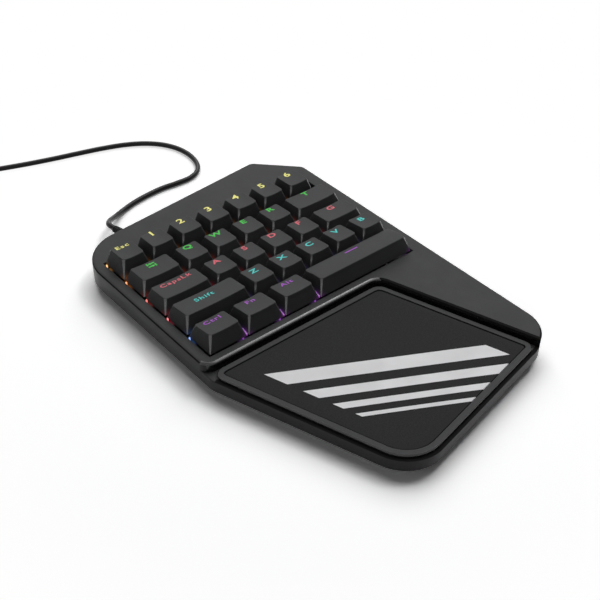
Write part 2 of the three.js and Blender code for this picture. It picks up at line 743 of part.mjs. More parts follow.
// Switch centres, row by row.
function keyCells(row, rowIndex) {
  let left = 0;
  return row.names.map((name, i) => {
    const width = row.widthShares[i] * KEY_PITCH;
    const cell = { name, row, left, width, front: (KEY_ROWS.length - 1 - rowIndex) * KEY_PITCH };
    left += width;
    cell.x = cell.left + width / 2;
    cell.y = cell.front + KEY_PITCH / 2;
    return cell;
  });
}
const cellRows = KEY_ROWS.map(keyCells);
const cells = cellRows.flat();
const spaceCell = cells.find((cell) => cell.name === 'space');
const stabiliserPlaces = [spaceCell.x - WIRE_REACH, spaceCell.x + WIRE_REACH];
const wireY = spaceCell.y - WIRE_SETBACK;
const wireZ = BOARD_TOP + WIRE_RISE;
const wireTip = wireZ + WIRE_ARM * Math.sin(WIRE_ANGLE);

// Switch plate with a square hole for each switch, and the stabiliser's slots and clips.
function switchPlate() {
  const edge = WINDOW_GAP + SKIRT_WALL + PLATE_MARGIN;
  const sheet = box(-edge, BLOCK_WIDTH + edge, -edge, BLOCK_DEPTH + edge, PLATE_BOTTOM, PLATE_TOP);
  const half = HOUSING_WIDTH / 2 + HOLE_GAP;
  const holes = cells.map((cell) => box(
    cell.x - half,
    cell.x + half,
    cell.y - half,
    cell.y + half,
    PLATE_BOTTOM - OVERRUN,
    PLATE_TOP + OVERRUN,
  ));
  const slots = stabiliserPlaces.map((x) => box(
    x - SLOT_WIDTH / 2,
    x + SLOT_WIDTH / 2,
    spaceCell.y - SLOT_FRONT,
    spaceCell.y + SLOT_BACK,
    PLATE_BOTTOM - OVERRUN,
    PLATE_TOP + OVERRUN,
  ));
  const clips = [];
  const bores = [];
  for (const x of [spaceCell.x - CLIP_REACH, spaceCell.x + CLIP_REACH]) {
    clips.push(box(
      x - CLIP_WIDTH / 2,
      x + CLIP_WIDTH / 2,
      wireY - CLIP_DEPTH / 2,
      wireY + CLIP_DEPTH / 2,
      BOARD_TOP + CLIP_FOOT,
      PLATE_BOTTOM + PLATE_THICKNESS / 2,
    ));
    bores.push(box(
      x - CLIP_WIDTH,
      x + CLIP_WIDTH,
      wireY - WIRE_RADIUS - WIRE_GAP,
      wireY + WIRE_RADIUS + WIRE_GAP,
      wireZ - WIRE_RADIUS - WIRE_GAP,
      wireZ + WIRE_RADIUS + WIRE_GAP,
    ));
  }
  return sheet.subtract(join(holes)).subtract(join(slots)).add(join(clips)).subtract(join(bores));
}

addPiece('switch_plate', surface(switchPlate()), 'plate');

// Switch housings. The housings of a row stand on one thin web that lies on the board, apart from
// the space bar's, which stands alone.
function housing(cell) {
  const square = (width, z) => ringAt(rectangle(
    cell.x - width / 2,
    cell.x + width / 2,
    cell.y - width / 2,
    cell.y + width / 2,
  ), z);
  const foot = BOARD_TOP + SEAT_GAP;
  const flange = PLATE_TOP + SEAT_GAP;
  const flangeTop = flange + HOUSING_FLANGE_HEIGHT;
  const head = PLATE_TOP + HOUSING_RISE;
  const cavity = STEM_WIDTH + STEM_GAP * 2;
  return solid(loft([
    square(HOUSING_WIDTH, foot),
    square(HOUSING_WIDTH, flange),
    square(HOUSING_FLANGE, flange),
    square(HOUSING_FLANGE, flangeTop),
    square(HOUSING_NECK, flangeTop),
    square(HOUSING_HEAD, head),
    square(cavity, head),
    square(cavity, foot + HOUSING_FLOOR),
  ]));
}

cellRows.forEach((row, i) => {
  const joined = row.filter((cell) => cell !== spaceCell);
  const foot = BOARD_TOP + SEAT_GAP;
  const web = box(
    joined[0].x,
    joined[joined.length - 1].x,
    joined[0].y - WEB_WIDTH / 2,
    joined[0].y + WEB_WIDTH / 2,
    foot,
    foot + WEB_HEIGHT,
  );
  addPiece(`switch_row_${i + 1}`, surface(join(joined.map(housing)).add(web)), 'housing');
});
addPiece('switch_space', surface(housing(spaceCell)), 'housing');

// Keycap: a hollow shell with sloping sides, a dished top and a stem down its middle.
function capRing(cell, sideInset, frontInset, backInset, frontZ, backZ, radius) {
  const points = rectangle(
    sideInset,
    cell.width - sideInset,
    frontInset,
    KEY_PITCH - backInset,
    radius,
  );
  const depth = KEY_PITCH - frontInset - backInset;
  return points.map((point) => new THREE.Vector3(
    point.x,
    point.y,
    THREE.MathUtils.lerp(frontZ, backZ, (point.y - frontInset) / depth),
  ));
}

function keycap(cell) {
  const frontZ = CAP_HEIGHT * cell.row.frontShare;
  const backZ = CAP_HEIGHT * cell.row.backShare;
  const ceiling = Math.min(frontZ, backZ) - CAP_DISH - CAP_TOP;
  const rise = ceiling / frontZ;
  const slope = (inset) => CAP_INSET + (inset - CAP_INSET) * rise + CAP_WALL;
  const foot = CAP_INSET + CAP_WALL;
  const dishBorder = CAP_EDGE + CAP_DISH_BORDER;
  const dish = capRing(
    cell,
    CAP_TOP_SIDE_INSET + dishBorder,
    CAP_TOP_FRONT_INSET + dishBorder,
    CAP_TOP_BACK_INSET + dishBorder,
    frontZ - CAP_DISH,
    backZ - CAP_DISH,
    CAP_CORNER,
  );
  const shell = solid(loft([
    capRing(cell, slope(CAP_TOP_SIDE_INSET), slope(CAP_TOP_FRONT_INSET),
      slope(CAP_TOP_BACK_INSET), ceiling, ceiling, CAP_CORNER),
    capRing(cell, foot, foot, foot, 0, 0, CAP_CORNER),
    capRing(cell, CAP_INSET, CAP_INSET, CAP_INSET, 0, 0, CAP_CORNER),
    capRing(cell, CAP_TOP_SIDE_INSET, CAP_TOP_FRONT_INSET, CAP_TOP_BACK_INSET,
      frontZ - CAP_EDGE, backZ - CAP_EDGE, CAP_CORNER),
    capRing(cell, CAP_TOP_SIDE_INSET + CAP_EDGE, CAP_TOP_FRONT_INSET + CAP_EDGE,
      CAP_TOP_BACK_INSET + CAP_EDGE, frontZ, backZ, CAP_CORNER),
    dish,
  ]));
  const stem = box(
    cell.width / 2 - STEM_WIDTH / 2,
    cell.width / 2 + STEM_WIDTH / 2,
    KEY_PITCH / 2 - STEM_WIDTH / 2,
    KEY_PITCH / 2 + STEM_WIDTH / 2,
    -KEY_TRAVEL,
    ceiling + CAP_TOP / 2,
  );
  const feetTop = ceiling + CAP_TOP / 2;
  const stabilisers = cell === spaceCell ? stabiliserPlaces.map((x) => box(
    x - cell.left - STABILISER_FOOT_WIDTH / 2,
    x - cell.left + STABILISER_FOOT_WIDTH / 2,
    KEY_PITCH / 2 - STABILISER_FOOT_DEPTH / 2,
    KEY_PITCH / 2 + STABILISER_FOOT_DEPTH / 2,
    wireTip + WIRE_RADIUS + STABILISER_GAP - DECK_HEIGHT,
    feetTop,
  )) : [];
  return join([shell, stem, ...stabilisers]);
}

for (const cell of cells) {
  const cap = addPiece(`key_${cell.name}`, surface(keycap(cell)), 'cap');
  cap.position.set(cell.left, cell.front, DECK_HEIGHT);
}

// Stabiliser wire: a bar along the space bar with an arm at each end that reaches up to the cap.
function stabiliserWire() {
  const bar = new THREE.CylinderGeometry(
    WIRE_RADIUS,
    WIRE_RADIUS,
    WIRE_REACH * 2 + WIRE_RADIUS * 2,
    8,
  );
  bar.rotateZ(Math.PI / 2);
  bar.translate(spaceCell.x, wireY, wireZ);
  const arms = stabiliserPlaces.map((x) => {
    const arm = new THREE.CylinderGeometry(WIRE_RADIUS, WIRE_RADIUS, WIRE_ARM, 8);
    arm.translate(0, WIRE_ARM / 2, 0);
    arm.rotateX(WIRE_ANGLE);
    arm.translate(x, wireY, wireZ);
    return solid(arm);
  });
  return join([solid(bar), ...arms]);
}

addPiece('stabiliser_wire', surface(stabiliserWire()), 'steel');

// A tube of the cable's own diameter along a curve, in straight steps.
function cableTube(curve, steps, sides) {
  const section = new THREE.Shape(Array.from({ length: sides }, (_, k) => {
    const angle = (Math.PI * 2 * (k + 1 / 2)) / sides;
    const radius = CABLE_DIAMETER / 2;
    return new THREE.Vector2(radius * Math.cos(angle), radius * Math.sin(angle));
  }));
  curve.arcLengthDivisions = steps * 8;
  return new THREE.ExtrudeGeometry(section, { steps, extrudePath: curve, bevelEnabled: false });
}

// Inner lead: from the strain relief's inner face to the socket on the board.
const flangeBack = -WALL - CORD_GAP - RELIEF_FLANGE;
const leadStart = alongExit(flangeBack - CORD_GAP);
const leadEnd = new THREE.Vector3(
  leadStart.x,
  socketBack + CORD_GAP,
  CABLE_EXIT_HEIGHT,
);
addPiece('inner_lead', surface(solid(cableTube(new THREE.LineCurve3(
  new THREE.Vector3(leadStart.x, leadStart.y, CABLE_EXIT_HEIGHT),
  leadEnd,
), 2, CABLE_SIDES))), 'cable');

// Strain relief: flange inside the wall, neck through it, collar and tapered sleeve outside.
const relief = new THREE.LatheGeometry([
  new THREE.Vector2(0, flangeBack),
  new THREE.Vector2(RELIEF_FLANGE_RADIUS, flangeBack),
  new THREE.Vector2(RELIEF_FLANGE_RADIUS, flangeBack + RELIEF_FLANGE),
  new THREE.Vector2(RELIEF_NECK_RADIUS, flangeBack + RELIEF_FLANGE),
  new THREE.Vector2(RELIEF_NECK_RADIUS, CORD_GAP),
  new THREE.Vector2(RELIEF_COLLAR_RADIUS, CORD_GAP),
  new THREE.Vector2(RELIEF_COLLAR_RADIUS, CORD_GAP + RELIEF_COLLAR),
  new THREE.Vector2(RELIEF_ROOT_RADIUS, CORD_GAP + RELIEF_COLLAR),
  new THREE.Vector2(RELIEF_TIP_RADIUS, RELIEF_LENGTH),
  new THREE.Vector2(0, RELIEF_LENGTH),
], 12);
addCordPiece('strain_relief', surface(solid(placeAtExit(relief))), 'rubber');

// Coil: the tube spirals in and out again in layers at a steady rate, and climbs a layer in the
// half turn where the spiral turns back. Its ends run straight for one diameter.
const coilBase = TIE_THICKNESS + TIE_GAP + CABLE_DIAMETER / 2;
const layerTurns = COIL_TURNS / COIL_LAYERS;
function coilPoint(turns) {
  const layer = Math.min(Math.floor(turns / layerTurns), COIL_LAYERS - 1);
  const into = turns - layer * layerTurns;
  const inward = layer % 2 === 0 ? into : layerTurns - into;
  const radius = COIL_RADIUS + COIL_PITCH * (layerTurns / 2 - inward);
  let climb = 0;
  for (let k = 1; k < COIL_LAYERS; k += 1) {
    const share = THREE.MathUtils.clamp((turns - k * layerTurns) * 2 + 1 / 2, 0, 1);
    climb += THREE.MathUtils.smoothstep(share, 0, 1);
  }
  const angle = COIL_START_ANGLE - Math.PI * 2 * turns;
  return new THREE.Vector3(
    COIL_CENTRE_X + radius * Math.cos(angle),
    COIL_CENTRE_Y + radius * Math.sin(angle),
    coilBase + COIL_PITCH * climb,
  );
}

const coilSteps = Math.round(COIL_TURNS * COIL_LOOP_STEPS);
const turnPoints = Array.from({ length: coilSteps + 1 }, (_, k) => (
  coilPoint((COIL_TURNS * k) / coilSteps)
));
function runOut(end, beside) {
  const direction = end.clone().sub(beside).setZ(0).normalize();
  return end.clone().addScaledVector(direction, CABLE_DIAMETER);
}
const coilIn = runOut(turnPoints[0], turnPoints[1]);
const coilOut = runOut(turnPoints[coilSteps], turnPoints[coilSteps - 1]);
const coilLine = [coilIn, ...turnPoints, coilOut];

// Least gap of the tube to itself, measured between centreline points half a loop or more apart.
let leastGap = Infinity;
for (let a = 0; a < coilLine.length; a += 1) {
  for (let b = a + COIL_LOOP_STEPS / 2; b < coilLine.length; b += 1) {
    leastGap = Math.min(leastGap, coilLine[a].distanceTo(coilLine[b]) - CABLE_DIAMETER);
  }
}
console.log(`least gap in the coil: ${leastGap.toFixed(2)} mm`);

// The wound tube, ring by ring: each ring stands square to the line, with one corner kept level.
function woundTube(line, sides) {
  const radius = CABLE_DIAMETER / 2;
  const upright = new THREE.Vector3(0, 0, 1);
  const rings = line.map((point, i) => {
    const before = line[Math.max(i - 1, 0)];
    const after = line[Math.min(i + 1, line.length - 1)];
    const along = after.clone().sub(before).normalize();
    const sideways = along.clone().cross(upright).normalize();
    const normal = sideways.clone().cross(along);
    return Array.from({ length: sides }, (_, k) => {
      const angle = (Math.PI * 2 * (k + 1 / 2)) / sides;
      return point.clone()
        .addScaledVector(normal, radius * Math.cos(angle))
        .addScaledVector(sideways, radius * Math.sin(angle));
    });
  });
  return loft(rings, fanFaces);
}

addCordPiece('cable_coil', woundTube(coilLine, COIL_SIDES), 'cable');

// The free stretches meet the strain relief, the coil and the plug square, with a small gap.
function coordinates(point) {
  return new THREE.Vector3(...point);
}
const runStart = alongExit(RELIEF_LENGTH + CORD_GAP);
const intoCoil = turnPoints[0].clone().sub(coilIn).normalize();
const runEnd = coilIn.clone().addScaledVector(intoCoil, -CORD_GAP);
const runCurve = new THREE.CatmullRomCurve3([
  new THREE.Vector3(runStart.x, runStart.y, CABLE_EXIT_HEIGHT),
  ...RUN_POINTS.map(coordinates),
  runEnd.clone().addScaledVector(intoCoil, -CABLE_DIAMETER),
  runEnd,
]);
addCordPiece('cable_run', surface(solid(cableTube(runCurve, RUN_STEPS, CABLE_SIDES))), 'cable');

const outOfCoil = coilOut.clone().sub(turnPoints[coilSteps]).normalize();
const tailStart = coilOut.clone().addScaledVector(outOfCoil, CORD_GAP);
const plugBack = PLUG_Y + PLUG_LENGTH + PLUG_SLEEVE_LENGTH;
const tailEnd = new THREE.Vector3(PLUG_X, plugBack + CORD_GAP, PLUG_HEIGHT / 2);
const tailCurve = new THREE.CatmullRomCurve3([
  tailStart,
  tailStart.clone().addScaledVector(outOfCoil, CABLE_DIAMETER),
  ...TAIL_POINTS.map(coordinates),
  tailEnd.clone().setY(tailEnd.y + CABLE_DIAMETER),
  tailEnd,
]);
addCordPiece('cable_tail', surface(solid(cableTube(tailCurve, TAIL_STEPS, CABLE_SIDES))), 'cable');

// Tie: a strap round the bundle of turns, standing across it.
function coilTie() {
  const halfWidth = (COIL_PITCH * layerTurns + CABLE_DIAMETER) / 2 + TIE_GAP;
  const inside = coilBase - CABLE_DIAMETER / 2 - TIE_GAP;
  const top = coilBase + COIL_PITCH * (COIL_LAYERS - 1) + CABLE_DIAMETER / 2 + TIE_GAP;
  const middle = (inside + top) / 2;
  const band = (grow) => {
    const points = rectangle(
      -halfWidth - grow,
      halfWidth + grow,
      inside - middle - grow,
      top - middle + grow,
      CABLE_DIAMETER / 2 + grow,
      3,
    );
    const depth = TIE_WIDTH + (grow > 0 ? 0 : OVERRUN * 2);
    const geometry = loft([ringAt(points, -depth / 2), ringAt(points, depth / 2)]);
    geometry.rotateX(Math.PI / 2);
    geometry.rotateZ(TIE_ANGLE);
    geometry.translate(
      COIL_CENTRE_X + COIL_RADIUS * Math.cos(TIE_ANGLE),
      COIL_CENTRE_Y + COIL_RADIUS * Math.sin(TIE_ANGLE),
      middle,
    );
    return solid(geometry);
  };
  return band(TIE_THICKNESS).subtract(band(0));
}

addCordPiece('coil_tie', surface(coilTie()), 'rubber');

// USB plug: grip with a tapered sleeve and the tongue, and the metal shell round the tongue.
function usbPlug() {
  const grip = rectangle(
    PLUG_X - PLUG_WIDTH / 2,
    PLUG_X + PLUG_WIDTH / 2,
    PLUG_Y,
    PLUG_Y + PLUG_LENGTH,
    PLUG_CORNER,
    3,
  );
  const sleeve = new THREE.CylinderGeometry(
    PLUG_SLEEVE_TIP_RADIUS,
    PLUG_SLEEVE_ROOT_RADIUS,
    PLUG_SLEEVE_LENGTH,
    12,
  );
  sleeve.translate(PLUG_X, PLUG_Y + PLUG_LENGTH + PLUG_SLEEVE_LENGTH / 2, PLUG_HEIGHT / 2);
  const halfInside = SHELL_WIDTH / 2 - SHELL_WALL;
  const socketLow = (PLUG_HEIGHT - SHELL_HEIGHT) / 2 - CORD_GAP;
  const seat = box(
    PLUG_X - SHELL_WIDTH / 2 - CORD_GAP,
    PLUG_X + SHELL_WIDTH / 2 + CORD_GAP,
    PLUG_Y - OVERRUN,
    PLUG_Y + SHELL_ROOT + CORD_GAP,
    socketLow,
    PLUG_HEIGHT - socketLow,
  );
  const tongueTop = PLUG_HEIGHT / 2 + SHELL_HEIGHT / 2 - SHELL_WALL - CORD_GAP;
  const tongue = box(
    PLUG_X - halfInside + CORD_GAP,
    PLUG_X + halfInside - CORD_GAP,
    PLUG_Y + SHELL_ROOT - TONGUE_LENGTH,
    PLUG_Y + SHELL_ROOT + OVERRUN,
    tongueTop - TONGUE_HEIGHT,
    tongueTop,
  );
  return prism(grip, 0, PLUG_HEIGHT).add(solid(sleeve)).subtract(seat).add(tongue);
}

addCordPiece('usb_plug_body', surface(usbPlug()), 'rubber');

function usbShell() {
  const low = (PLUG_HEIGHT - SHELL_HEIGHT) / 2;
  const back = PLUG_Y + SHELL_ROOT;
  const outer = box(
    PLUG_X - SHELL_WIDTH / 2,
    PLUG_X + SHELL_WIDTH / 2,
    back - SHELL_LENGTH,
    back,
    low,
    PLUG_HEIGHT - low,
  );
  return outer.subtract(box(
    PLUG_X - SHELL_WIDTH / 2 + SHELL_WALL,
    PLUG_X + SHELL_WIDTH / 2 - SHELL_WALL,
    back - SHELL_LENGTH - OVERRUN,
    back + OVERRUN,
    low + SHELL_WALL,
    PLUG_HEIGHT - low - SHELL_WALL,
  ));
}

addCordPiece('usb_plug_shell', surface(usbShell()), 'steel');

const leadLength = runCurve.getLength() + tailCurve.getLength() + coilLine.reduce(
  (sum, point, i) => sum + (i > 0 ? point.distanceTo(coilLine[i - 1]) : 0),
  0,
);
console.log(`free lead outside the case: ${leadLength.toFixed(0)} mm`);

// The origin stands at the middle of the keypad's own footprint, on the desk.
const footprint = new THREE.Box3();
keypad.updateMatrixWorld(true);
for (const mesh of keypad.children) {
  if (!CORD_NAMES.includes(mesh.name)) {
    footprint.expandByObject(mesh);
  }
}
const centre = footprint.getCenter(new THREE.Vector3());
keypad.position.set(-centre.x, -centre.y, 0);
console.log(`block corner from the origin: ${(-centre.x).toFixed(3)}, ${(-centre.y).toFixed(3)} mm`);
console.log(`keypad: ${footprint.getSize(new THREE.Vector3()).toArray().map((side) => side.toFixed(1))}`);

export default keypad;
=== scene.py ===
import math

import bmesh
import bpy
from mathutils import Matrix, Vector


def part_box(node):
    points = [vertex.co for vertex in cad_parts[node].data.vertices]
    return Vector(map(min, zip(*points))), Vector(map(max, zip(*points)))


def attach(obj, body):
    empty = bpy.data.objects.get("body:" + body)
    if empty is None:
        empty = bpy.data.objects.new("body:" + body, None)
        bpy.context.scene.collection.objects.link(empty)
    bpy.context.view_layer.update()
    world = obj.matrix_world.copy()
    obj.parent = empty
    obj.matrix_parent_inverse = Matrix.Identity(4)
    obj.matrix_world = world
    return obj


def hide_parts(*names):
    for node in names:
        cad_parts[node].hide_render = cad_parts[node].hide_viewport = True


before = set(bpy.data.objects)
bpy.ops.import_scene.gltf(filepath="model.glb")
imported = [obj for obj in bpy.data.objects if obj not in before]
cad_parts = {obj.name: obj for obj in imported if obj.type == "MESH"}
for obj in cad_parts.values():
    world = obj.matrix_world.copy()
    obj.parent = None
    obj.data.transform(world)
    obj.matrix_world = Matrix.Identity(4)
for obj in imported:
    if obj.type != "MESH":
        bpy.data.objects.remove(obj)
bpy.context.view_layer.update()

MM = 0.001
scene = bpy.context.scene

# The desk is a plain pale floor that fades to a white backdrop. A wide soft light hangs high behind to
# the right, with a weak fill at the left, and two small ones draw the bright lines along the deck's
# front edge and the corners of the keycaps. The camera looks down from the keypad's front left.
CAMERA_PLACE = Vector((-292.87, -328.44, 368.64)) * MM
CAMERA_AZIMUTH = math.radians(-41.06)
CAMERA_ELEVATION = math.radians(39.07)
CAMERA_ROLL = math.radians(1.43)
CAMERA_LENS = 64.66
SENSOR_WIDTH = 36.0
CAMERA_CLIP = (0.01, 20.0)
BLACK = (0.0, 0.0, 0.0)
WHITE = (1.0, 1.0, 1.0)
FLOOR_REACH = 6.0
FLOOR_COLOUR = (0.40, 0.40, 0.405)
FLOOR_ROUGHNESS = 0.9
FLOOR_SEEN_COLOUR = (1.46, 1.46, 1.46)
WHITE_START = 0.12
WHITE_FULL = 0.25
SKY_COLOUR = (0.97, 0.98, 1.0)
SKY_LIGHT = 0.04
SOFTBOXES = {  # place, side and power
    "key_light": (Vector((1.20, 1.20, 2.40)), 3.2, 80.0),
    "left_fill": (Vector((-3.00, 0.50, 1.30)), 2.0, 5.5),
    "corner_light": (Vector((-1.37, -1.20, 0.62)), 0.5, 1.3),
    "edge_light": (Vector((1.50, 0.08, 2.50)), 0.6, 8.0),
}


def add_object(name, data):
    made = bpy.data.objects.new(name, data)
    scene.collection.objects.link(made)
    return made


def mesh_of(points, faces=()):
    mesh = bpy.data.meshes.new("mesh")
    mesh.from_pydata(points, [], list(faces))
    return mesh


def feed(socket, value):
    """Links a node's input to another socket or sets it; a colour is three numbers."""
    if isinstance(value, bpy.types.NodeSocket):
        socket.id_data.links.new(value, socket)
    else:
        socket.default_value = (*value, 1) if socket.type == "RGBA" else value


def add_node(tree, kind, inputs=None, **settings):
    node = tree.nodes.new(kind)
    for name, value in settings.items():
        setattr(node, name, value)
    for name, value in (inputs or {}).items():
        feed(node.inputs[name], value)
    return node


def math_node(tree, operation, *values):
    return add_node(tree, "ShaderNodeMath", dict(enumerate(values)), operation=operation).outputs[0]


def measure(tree, operation, *values):
    """A number from one or two vectors: a length, a distance or a dot product."""
    inputs = dict(enumerate(values))
    return add_node(tree, "ShaderNodeVectorMath", inputs, operation=operation).outputs["Value"]


def object_place(tree):
    return add_node(tree, "ShaderNodeTexCoord").outputs["Object"]


def spread(tree, value, low, high, from_low=0.3, from_high=0.7, kind="LINEAR"):
    """The value carried from one range to another; most of a noise lies from 0.3 to 0.7."""
    return add_node(tree, "ShaderNodeMapRange", {
        "Value": value, "From Min": from_low, "From Max": from_high, "To Min": low, "To Max": high,
    }, interpolation_type=kind).outputs["Result"]


def mix_colours(tree, factor, first, second):
    mix = add_node(tree, "ShaderNodeMix", data_type="RGBA")
    for socket, value in ((0, factor), (6, first), (7, second)):
        feed(mix.inputs[socket], value)
    return mix.outputs[2]


def set_shader(material, inputs):
    shader = material.node_tree.nodes["Principled BSDF"]
    for name, value in inputs.items():
        feed(shader.inputs[name], value)


def new_material(name, colour, roughness, metallic=0.0, specular=0.5):
    material = bpy.data.materials.new(name)
    material.use_nodes = True
    set_shader(material, {
        "Base Color": colour, "Roughness": roughness, "Metallic": metallic, "Specular IOR Level": specular})
    return material


def seen_or_mirrored(tree):
    """1 for rays from the camera, from a reflection or through glass, and 0 for light that falls."""
    rays = add_node(tree, "ShaderNodeLightPath").outputs
    either = math_node(tree, "MAXIMUM", rays["Is Camera Ray"], rays["Is Glossy Ray"])
    return math_node(tree, "MAXIMUM", either, rays["Is Transmission Ray"])


scene.view_settings.view_transform = "Standard"

camera = add_object("camera", bpy.data.cameras.new("camera"))
scene.camera = camera
camera.data.lens = CAMERA_LENS
camera.data.sensor_width = SENSOR_WIDTH
camera.data.clip_start, camera.data.clip_end = CAMERA_CLIP
camera.matrix_world = (
    Matrix.Translation(CAMERA_PLACE)
    @ Matrix.Rotation(CAMERA_AZIMUTH, 4, "Z")
    @ Matrix.Rotation(math.pi / 2 - CAMERA_ELEVATION, 4, "X")
    @ Matrix.Rotation(CAMERA_ROLL, 4, "Z")
)

scene.world = bpy.data.worlds.new("studio")
scene.world.use_nodes = True
sky = scene.world.node_tree
sky.nodes.clear()
sky_seen = add_node(sky, "ShaderNodeBackground", {"Color": WHITE, "Strength": 1.0})
sky_lamp = add_node(sky, "ShaderNodeBackground", {"Color": SKY_COLOUR, "Strength": SKY_LIGHT})
sky_mix = add_node(sky, "ShaderNodeMixShader", {
    0: seen_or_mirrored(sky), 1: sky_lamp.outputs[0], 2: sky_seen.outputs[0]})
add_node(sky, "ShaderNodeOutputWorld", {"Surface": sky_mix.outputs[0]})

for name, (place, side, power) in SOFTBOXES.items():
    lamp = bpy.data.lights.new(name, "AREA")
    lamp.shape = "SQUARE"
    lamp.size = side
    lamp.energy = power
    softbox = add_object(name, lamp)
    softbox.location = place
    softbox.rotation_euler = place.to_track_quat("Z", "Y").to_euler()

pale_floor = new_material("pale_floor", FLOOR_COLOUR, FLOOR_ROUGHNESS, specular=0.0)
floor_tree = pale_floor.node_tree
floor_distance = measure(floor_tree, "LENGTH", object_place(floor_tree))
whitening = spread(floor_tree, floor_distance, 0.0, 1.0, WHITE_START, WHITE_FULL, "SMOOTHSTEP")
floor_seen = seen_or_mirrored(floor_tree)
floor_white = math_node(floor_tree, "MULTIPLY", whitening, floor_seen)
floor_tone = mix_colours(floor_tree, floor_seen, FLOOR_COLOUR, FLOOR_SEEN_COLOUR)
set_shader(pale_floor, {
    "Base Color": mix_colours(floor_tree, floor_white, floor_tone, BLACK),
    "Emission Color": WHITE,
    "Emission Strength": floor_white,
})
floor_corners = ((-1, -1), (1, -1), (1, 1), (-1, 1))
floor_mesh = mesh_of([(x * FLOOR_REACH, y * FLOOR_REACH, 0) for x, y in floor_corners], [(0, 1, 2, 3)])
floor_mesh.materials.append(pale_floor)
floor = add_object("floor", floor_mesh)

# Top cover: one satin ABS moulding with the raised key deck, the side walls and the lower palm
# floor. The edge of the deck and the step down to the palm rest are polished, and their near-black
# colour is painted shade. The walls are darker with painted shade, and a black line of painted
# shade runs along the other edges of the deck and on the palm ledge.
KEY_PITCH = 19.05 * MM
BLOCK_PITCHES = 7.25
ROW_COUNT = 5
CAP_INSET = 0.54 * MM
WALL = 2.0 * MM
RIM_FRONT = 5.6 * MM
BACK_MARGIN_LEFT = 18.7 * MM
BACK_MARGIN_RIGHT = 33.6 * MM
BACK_LEFT_RADIUS = 27 * MM
CHAMFER_WIDTH = 22.6 * MM
CHAMFER_DEPTH = 24.9 * MM
CHAMFER_RADIUS = 5 * MM
PALM_START = 9.5 * MM
PALM_START_RADIUS = 12 * MM
PALM_LENGTH_LEFT = 114.8 * MM
PALM_LENGTH_RIGHT = 91.8 * MM
PALM_SHIFT = 36.0 * MM
PALM_INSET = 1.7 * MM
PALM_LEFT_RADIUS = 22 * MM
PALM_RIGHT_RADIUS = 20 * MM
STEP_CORNER = 106.7 * MM
STEP_RUN = 28.3 * MM
STEP_RADIUS = 8 * MM
DECK_CORNER_RADIUS = 7 * MM
DECK_CORNER_OVERHANG = 0.2 * MM
DECK_CORNER_STEPS = 14
DECK_BEVEL_WIDTH = 1.5 * MM
DECK_BEVEL_HEIGHT = 1.2 * MM
DECK_LIP_WIDTH = 0.5 * MM
DECK_LIP_HEIGHT = 0.85 * MM
PALM_BEVEL_WIDTH = 0.7 * MM
PALM_BEVEL_HEIGHT = 0.6 * MM
DECK_THICKNESS = 1.8 * MM
PALM_FLOOR_DROP = 5.2 * MM
PALM_FLOOR_THICKNESS = 1.6 * MM
WINDOW_GAP = 0.4 * MM
WINDOW_CORNER = 0.3 * MM
WINDOW_FILLET = 0.35 * MM
SKIRT_WALL = 1.2 * MM
SKIRT_FOOT_DROP = 4.9 * MM
HOLDING_EDGE = 0.05 * MM
SEAT_GAP = 0.3 * MM
BOSS_RADIUS = 3.4 * MM
SCREW_RADIUS = 1.3 * MM
SCREW_CLEARANCE = 0.3 * MM
CABLE_EXIT = 27.4 * MM
CABLE_EXIT_HEIGHT = 10.5 * MM
CABLE_HOLE_RADIUS = 2.7 * MM
MASK_REACH = 0.3
OVERRUN = 1 * MM
WELD = 0.001 * MM
FLAT_AREA = 20 * MM ** 2
COVER_SHARP_EDGE = 18  # degrees
UPRIGHT_TILT = 0.03  # tilts are the upward share of a face's normal
LEVEL_TILT = 0.985
WALL_TILT = 0.5
LEDGE_TILT = 0.4
LOWER_EDGE_TILT = 0.75
LEDGE_LINE_START = 16 * MM
LEDGE_AREA = 300 * MM ** 2
PATCH_SIZE = 14 * MM
PATCH_DETAIL = 3.0
SPECKLE_SHARE = 0.5
PLASTIC_GLOSS_SPREAD = 0.06
PLACE_NAMES = ("back_left", "back_right", "front_left", "front_right")
SCREW_NAMES = ["case_screw_" + place for place in PLACE_NAMES]

case_low, case_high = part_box("top_cover")
deck_top = case_high.z
wall_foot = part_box("bottom_cover")[1].z + SEAT_GAP
palm_floor = deck_top - PALM_FLOOR_DROP
block_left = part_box("key_esc")[0].x - CAP_INSET
block_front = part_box("key_ctrl")[0].y - CAP_INSET
block_right = block_left + BLOCK_PITCHES * KEY_PITCH
block_back = block_front + ROW_COUNT * KEY_PITCH
block_middle = ((block_left + block_right) / 2, (block_front + block_back) / 2)
wall_left = case_low.x
wall_right = case_high.x
back_left = block_back + BACK_MARGIN_LEFT
back_right = block_back + BACK_MARGIN_RIGHT
back_slope = (back_right - back_left) / (wall_right - wall_left)
rim_front = block_front - RIM_FRONT


def crossing(line_a, line_b):
    apart = line_b[0] - line_a[0]
    return line_a[0] + line_a[1] * (apart.cross(line_b[1]) / line_a[1].cross(line_b[1]))


def rounded(corners, inset=0.0, least_radius=0.0):
    """Points of an outline whose corners (x, y, radius, steps) are rounded, drawn in by an inset."""
    lines = []
    for corner, after in zip(corners, corners[1:] + corners[:1]):
        along = Vector((after[0] - corner[0], after[1] - corner[1])).normalized()
        inward = Vector((-along.y, along.x))
        lines.append((Vector(corner[:2]) + inward * inset, along, inward))
    points = []
    for i, (_, _, radius, steps) in enumerate(corners):
        before, after = lines[i - 1], lines[i]
        sharp = crossing(before, after)
        if radius == 0:
            points.append(sharp)
            continue
        turn = math.atan2(before[1].cross(after[1]), before[1].dot(after[1]))
        radius = max(radius - inset, least_radius)
        start = sharp - before[1] * radius * math.tan(turn / 2)
        centre = start + before[2] * radius
        for k in range(steps + 1):
            spoke = (start - centre).to_3d()
            spoke.rotate(Matrix.Rotation(turn * k / steps, 3, "Z"))
            points.append(centre + spoke.to_2d())
    return points


